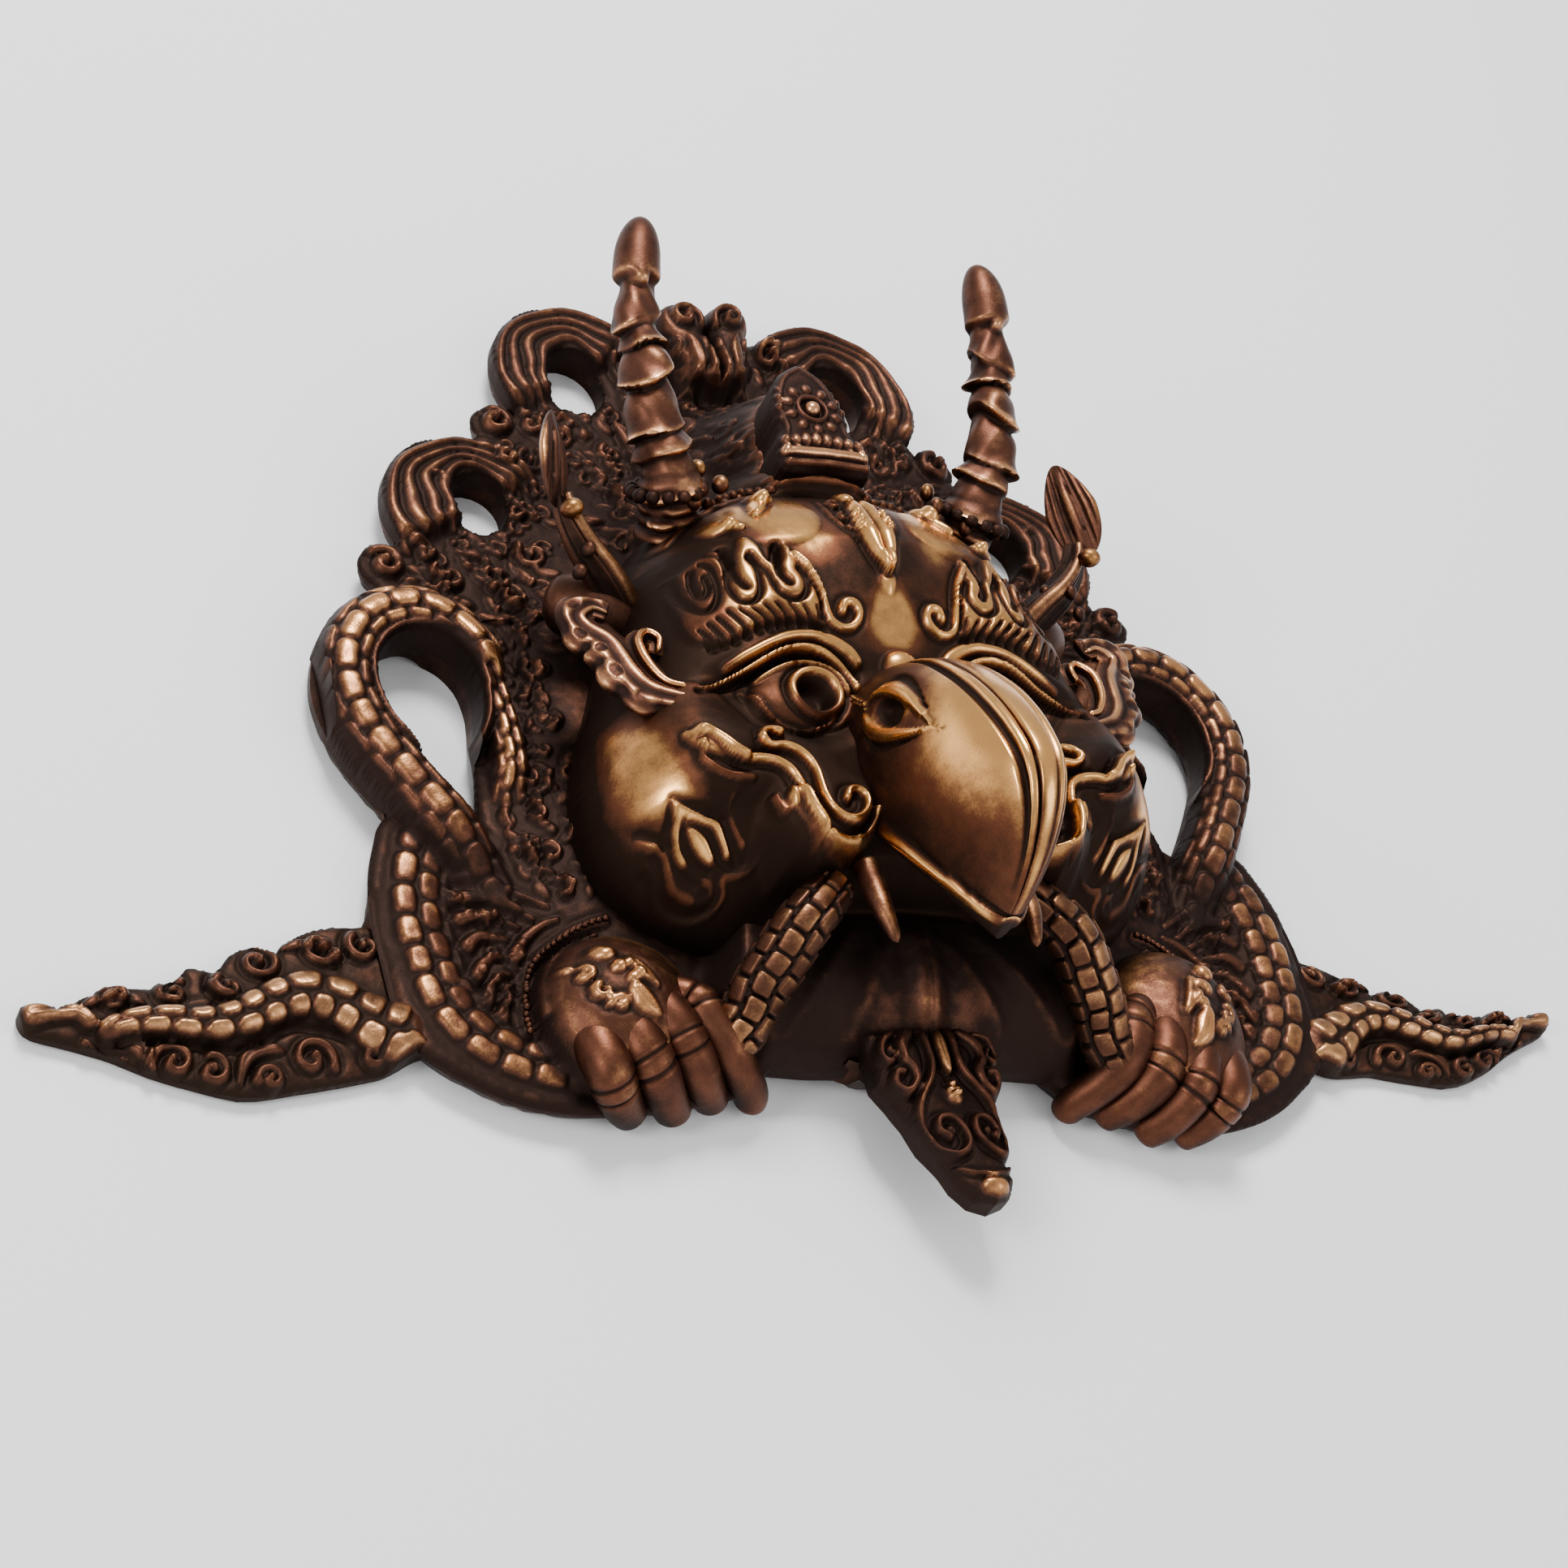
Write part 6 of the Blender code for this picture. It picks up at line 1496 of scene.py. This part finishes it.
def make_pendant(material):
    """The drop below the chest, with its scrolls."""
    relief = Relief(0.0, 21.0, -152.5, -96.0, 0.36, 0.25)
    x, y = relief.x, relief.y
    edge = polygon_distance(full_outline(PENDANT_OUTLINE), x, y)
    reach = np.clip(-edge / 9, 0, 1)
    relief.height = PENDANT_TOP - PENDANT_EDGE_DROP + PENDANT_EDGE_DROP * np.sqrt(reach * (2 - reach))
    relief.ridge(((4.4, -101), (3.9, -106), (4.0, -111), (5.6, -115.6), (8.6, -119.6), (10.9, -124.4),
                  (11.6, -130),
                  (10.2, -135.2), (6.4, -137.6), (2.6, -135.2), (1.7, -131), (3.6, -127.4), (7.0, -127.6),
                  (8.4, -130.6),
                  (6.8, -133.0)), 1.25, 2.4, (1.1, 0.9), 0.8, polish_and_painted_light=-0.02)
    relief.knob(5.6, -131.2, 1.5, 1.8)
    relief.ridge(((7.6, -101), (10.8, -105.4), (11.4, -109.6), (9.6, -113.0), (9.8, -117.0), (12.8, -119.2),
                  (15.2, -116.8),
                  (14.6, -113.8), (12.8, -113.8)), 1.5, 2.2, (1.5, 0.8), 0.8, polish_and_painted_light=-0.02)
    relief.ridge(((12, -101.5), (15.6, -104), (16.8, -108), (15.2, -110.4), (13.6, -108.6), (14.4, -106.6)),
                 1.1, 1.8, (1.2, 0.8), 0.7)
    relief.leaf((0, -101.5), (0, -115.0), 2.6, 2.6, 0.0, 0.0, 0.9, 0.26)
    relief.curl(0.6, -120.5, 3.4, 1, 90, 0.5, 0.9, 1.4, (1, 0.8), 0.6)
    relief.knob(0, -120.5, 2.5, 2.6, 1.3, 90, 0.34)
    relief.ridge(((8.0, -140.6), (4.6, -142.6), (0, -143.2)), 0.8, 1.2, (0.8, 1), 0.7)
    relief.knob(0.6, -147.6, 3.6, 2.2, 1.2, 90, 0.30)
    roughen(relief, 0.05, 11)
    relief.soften(0.35)
    round_rim(relief, edge)
    relief_piece("pendant", relief, np.maximum(edge, y + 99.5), PENDANT_FLOOR, material)


def back_outline(x, y):
    """Distance to the rim of the whole mask, without its holes."""
    outer = np.minimum(plate_edge(x, y), polygon_distance(WING_OUTLINE, x, y))
    return np.minimum(outer, polygon_distance(full_outline(PENDANT_OUTLINE), x, y))


def back_edge(x, y):
    """Distance to the rim of the back plate with its holes, drawn in a little."""
    return pierced(back_outline(x, y), x, y) + BACK_DRAWN_IN


def make_back_plate(material):
    """The flat back with its rim drawn in below, a closed slab that the fine pieces stand on."""
    xs = np.arange(0.0, WING_TIP + 2 * BACK_STEP, BACK_STEP)
    ys = np.arange(-154.2, 164.0, BACK_STEP)
    x, y = np.meshgrid(xs, ys)
    edge = back_edge(x, y)
    px, py = x.copy(), y.copy()
    moved = ((np.abs(edge) < 0.6 * BACK_STEP) | (edge >= 0)) & (edge < 2 * BACK_STEP)
    mx, my = x[moved], y[moved]
    for _ in range(5):
        away = back_edge(mx, my)
        slope_x = (back_edge(mx + 0.1, my) - away) / 0.1
        slope_y = (back_edge(mx, my + 0.1) - away) / 0.1
        steep = np.maximum(slope_x**2 + slope_y**2, 0.3)
        mx, my = mx - away * slope_x / steep, my - away * slope_y / steep
    far = np.maximum(np.hypot(mx - x[moved], my - y[moved]) / (2 * BACK_STEP), 1)
    px[moved] += (mx - x[moved]) / far
    py[moved] += (my - y[moved]) / far
    px[:, 0] = 0
    inward = np.clip(-back_outline(px, py) / RIM_RUN, 0, 1)
    lift = RIM_LIFT + (WING_RIM_LIFT - RIM_LIFT) * wing_share(x, y)
    drop = (SUNK + PENDANT_LIFT) * smooth_step(*PENDANT_FROM, y) * (x < 22)
    low = np.maximum(0, -SUNK + np.maximum((SUNK + lift) * (1 - inward) ** 1.5, drop))
    step_down = (WING_FLOOR + 0.4 - BODY_FLOOR) * smooth_step(136, 142, x)
    high = BODY_FLOOR + 0.5 + step_down * smooth_step(-50, -56, y)
    high = np.maximum(high + (PENDANT_FLOOR + 0.5 - BODY_FLOOR) * smooth_step(-99, -106, y) * (x < 22),
                      low + 0.4)
    px, py, low, high, edge = on_both_sides(px, py, low, high, edge)
    used, quads = grid_quads(edge)
    count = int(used.sum())
    top = np.stack([px[used], py[used], high[used]], axis=1)
    bottom = np.stack([px[used], py[used], low[used]], axis=1)
    walls = [(a, a + count, b + count, b) for a, b in rim_edges(quads)]
    faces = quads.tolist() + (quads[:, ::-1] + count).tolist() + walls
    new_piece("flat_back", np.vstack([top, bottom]), faces, np.full(2 * count, 0.3), material)


# Materials


def new_group(name, inputs, outputs):
    """A shader group with its sockets, its input node and its output node."""
    group = bpy.data.node_groups.new(name, "ShaderNodeTree")
    for kind, label, default in inputs:
        socket = group.interface.new_socket(label, in_out="INPUT", socket_type=kind)
        socket.default_value = default
    for kind, label in outputs:
        group.interface.new_socket(label, in_out="OUTPUT", socket_type=kind)
    return group, group.nodes.new("NodeGroupInput"), group.nodes.new("NodeGroupOutput")


def patina_and_painted_light_group():
    """Where the metal is rubbed bright, where it is brown, and where it goes black in the hollows, with
    patina, dirt and painted shade.
    """
    group, given, out = new_group(
        "patina_and_painted_light",
        (("NodeSocketFloat", "Wear_and_painted_light", 0.5), ("NodeSocketFloat", "Rubbed", 0.0),
         ("NodeSocketFloat", "Speckle", 0.25),
         ("NodeSocketColor", "High", (0.62, 0.37, 0.15, 1)),
         ("NodeSocketColor", "Middle", (0.16, 0.062, 0.028, 1)),
         ("NodeSocketColor", "Low", (0.012, 0.007, 0.005, 1))),
        (("NodeSocketColor", "Color"), ("NodeSocketFloat", "Roughness"), ("NodeSocketFloat", "Height")),
    )
    links = group.links

    def noise(scale, detail, rough=0.55):
        node = add_node(group, "ShaderNodeTexNoise", {"Scale": scale, "Detail": detail, "Roughness": rough})
        links.new(place.outputs["Object"], node.inputs["Vector"])
        return node

    def math_node(operation, a, b, clamp=False):
        node = add_node(group, "ShaderNodeMath", operation=operation, use_clamp=clamp)
        for socket, value in zip(node.inputs, (a, b)):
            if isinstance(value, (int, float)):
                socket.default_value = value
            else:
                links.new(value, socket)
        return node.outputs[0]

    place = add_node(group, "ShaderNodeTexCoord")
    patches = noise(38, 4)
    mottle = noise(210, 5, 0.6)
    grain = noise(1500, 3, 0.6)
    spread = math_node("MULTIPLY", math_node("SUBTRACT", patches.outputs["Fac"], 0.5), 0.42)
    speck = math_node("MULTIPLY", math_node("SUBTRACT", mottle.outputs["Fac"], 0.5),
                      given.outputs["Speckle"])
    fine = math_node("MULTIPLY", math_node("SUBTRACT", grain.outputs["Fac"], 0.5), 0.16)
    total = math_node("ADD", given.outputs["Wear_and_painted_light"], given.outputs["Rubbed"])
    total = math_node("ADD", math_node("ADD", total, spread), math_node("ADD", speck, fine), True)
    soft = {"interpolation_type": "SMOOTHSTEP"}
    brown = add_node(group, "ShaderNodeMapRange", {"From Min": 0.22, "From Max": 0.58}, **soft)
    gold = add_node(group, "ShaderNodeMapRange", {"From Min": 0.52, "From Max": 0.95}, **soft)
    for node in (brown, gold):
        links.new(total, node.inputs["Value"])
    first = add_node(group, "ShaderNodeMix", data_type="RGBA")
    second = add_node(group, "ShaderNodeMix", data_type="RGBA")
    links.new(brown.outputs["Result"], first.inputs["Factor"])
    links.new(given.outputs["Low"], first.inputs["A"])
    links.new(given.outputs["Middle"], first.inputs["B"])
    links.new(gold.outputs["Result"], second.inputs["Factor"])
    links.new(first.outputs["Result"], second.inputs["A"])
    links.new(given.outputs["High"], second.inputs["B"])
    links.new(second.outputs["Result"], out.inputs["Color"])
    rough = add_node(group, "ShaderNodeMapRange", {"From Min": 0.2, "From Max": 0.9, "To Min": 0.62,
                                                   "To Max": 0.23})
    links.new(total, rough.inputs["Value"])
    uneven_gloss = math_node("MULTIPLY", math_node("SUBTRACT", mottle.outputs["Fac"], 0.5), 0.22)
    links.new(math_node("ADD", rough.outputs["Result"], uneven_gloss, True), out.inputs["Roughness"])
    links.new(math_node("ADD", mottle.outputs["Fac"], math_node("MULTIPLY", grain.outputs["Fac"], 0.5)),
              out.inputs["Height"])
    return group


# Share of rubbed metal, speckle, colours of the high places, the middle and the hollows, and the depth
# of the casting grain in metres
METALS = {
    "rubbed_bronze": (0.0, 0.26, (0.84, 0.42, 0.13), (0.115, 0.040, 0.020), (0.024, 0.013, 0.009), 0.00008),
    "cast_bronze": (0.0, 0.46, (0.74, 0.34, 0.13), (0.100, 0.039, 0.023), (0.026, 0.015, 0.012), 0.00024),
    "coppery_bronze": (-0.12, 0.40, (0.76, 0.37, 0.17), (0.110, 0.043, 0.026), (0.026, 0.014, 0.011),
                       0.00016),
    "wing_bronze": (0.0, 0.40, (0.70, 0.35, 0.15), (0.100, 0.040, 0.024), (0.027, 0.016, 0.012), 0.00022),
    "held_bronze": (-0.18, 0.40, (0.70, 0.34, 0.14), (0.095, 0.038, 0.022), (0.024, 0.014, 0.011), 0.00020),
    "hand_bronze": (-0.14, 0.34, (0.76, 0.38, 0.14), (0.115, 0.042, 0.024), (0.024, 0.013, 0.010), 0.00014),
}


def bronze(name, group, rubbed, speckle, high, middle, low, depth):
    """Bronze with its own share of rubbed metal, colours and depth of casting grain."""
    material = bpy.data.materials.new(name)
    material.use_nodes = True
    tree = material.node_tree
    shader = tree.nodes["Principled BSDF"]
    shader.inputs["Metallic"].default_value = 1.0
    wear_and_painted_light_node = add_node(tree, "ShaderNodeAttribute", attribute_name="wear_and_painted_light")
    patina_and_painted_light = add_node(tree, "ShaderNodeGroup", node_tree=group)
    patina_and_painted_light.inputs["Rubbed"].default_value = rubbed
    patina_and_painted_light.inputs["Speckle"].default_value = speckle
    for label, colour in (("High", high), ("Middle", middle), ("Low", low)):
        patina_and_painted_light.inputs[label].default_value = (*colour, 1)
    relief = add_node(tree, "ShaderNodeBump", {"Strength": 0.6, "Distance": depth})
    for source, result, target, socket in (
            (wear_and_painted_light_node, "Fac", patina_and_painted_light, "Wear_and_painted_light"), (patina_and_painted_light, "Height", relief, "Height"),
            (relief, "Normal", shader, "Normal"), (patina_and_painted_light, "Color", shader, "Base Color"),
            (patina_and_painted_light, "Roughness", shader, "Roughness")):
        tree.links.new(source.outputs[result], target.inputs[socket])
    return material


# Floor, light and camera


FLOOR_REACH = 4
# Name, place and size in metres, and power in watts
LAMPS = (("key", (-0.15, 0.9, 1.35), 0.55, 33), ("side", (-1.3, -0.3, 0.9), 0.5, 11),
         ("fill", (0.9, -0.9, 1.1), 0.9, 7), ("front", (-0.2, -1.5, 0.55), 0.9, 3))


def stage():
    """A pale floor that runs past the picture's edges."""
    floor_mesh = bpy.data.meshes.new("floor")
    corners = [(x * FLOOR_REACH, y * FLOOR_REACH, 0) for x, y in ((-1, -1), (1, -1), (1, 1), (-1, 1))]
    floor_mesh.from_pydata(corners, [], [(0, 1, 2, 3)])
    floor = bpy.data.objects.new("floor", floor_mesh)
    bpy.context.scene.collection.objects.link(floor)
    pale = bpy.data.materials.new("pale_floor")
    pale.use_nodes = True
    shader = pale.node_tree.nodes["Principled BSDF"]
    shader.inputs["Base Color"].default_value = (0.93, 0.93, 0.93, 1)
    shader.inputs["Roughness"].default_value = 0.7
    floor_mesh.materials.append(pale)


def lights():
    """Soft light from all round, and four lamps that look at the mask."""
    world = bpy.data.worlds.new("studio")
    bpy.context.scene.world = world
    world.use_nodes = True
    background = world.node_tree.nodes["Background"]
    background.inputs["Color"].default_value = (0.95, 0.97, 1.0, 1)
    background.inputs["Strength"].default_value = 0.72
    for name, place, size, power in LAMPS:
        data = bpy.data.lights.new(name, "AREA")
        data.size = size
        data.energy = power
        lamp = bpy.data.objects.new(name, data)
        lamp.location = place
        lamp.rotation_euler = (-Vector(place)).to_track_quat("-Z", "Y").to_euler()
        bpy.context.scene.collection.objects.link(lamp)


def camera():
    """The photograph's viewpoint, low and to the left of the mask's chin, and rolled."""
    a, e = CAMERA_AZIMUTH, CAMERA_ELEVATION
    back = Vector((math.sin(a) * math.cos(e), math.sin(e), math.cos(a) * math.cos(e)))
    level = (-back).cross(Vector((0, 1, 0))).normalized()
    upright = level.cross(-back)
    right = math.cos(CAMERA_ROLL) * level + math.sin(CAMERA_ROLL) * upright
    up = -math.sin(CAMERA_ROLL) * level + math.cos(CAMERA_ROLL) * upright
    data = bpy.data.cameras.new("camera")
    data.sensor_width = SENSOR
    data.lens = CAMERA_LENS
    data.clip_start = 0.01
    eye_point = bpy.data.objects.new("camera", data)
    turn = Matrix((right, up, back)).transposed().to_4x4()
    eye_point.matrix_world = Matrix.Translation(Vector(CAMERA_PLACE)) @ turn
    bpy.context.scene.collection.objects.link(eye_point)
    bpy.context.scene.camera = eye_point


def main():
    camera()
    lights()
    stage()
    group = patina_and_painted_light_group()
    metal = {name: bronze(name, group, *look) for name, look in METALS.items()}
    make_body(metal["cast_bronze"])
    make_head(metal["rubbed_bronze"])
    make_crown_leaf(metal["coppery_bronze"])
    make_beak(metal["rubbed_bronze"])
    make_free_forms(metal)
    make_wings(metal["wing_bronze"])
    make_pendant(metal["cast_bronze"])
    make_back_plate(metal["cast_bronze"])


main()
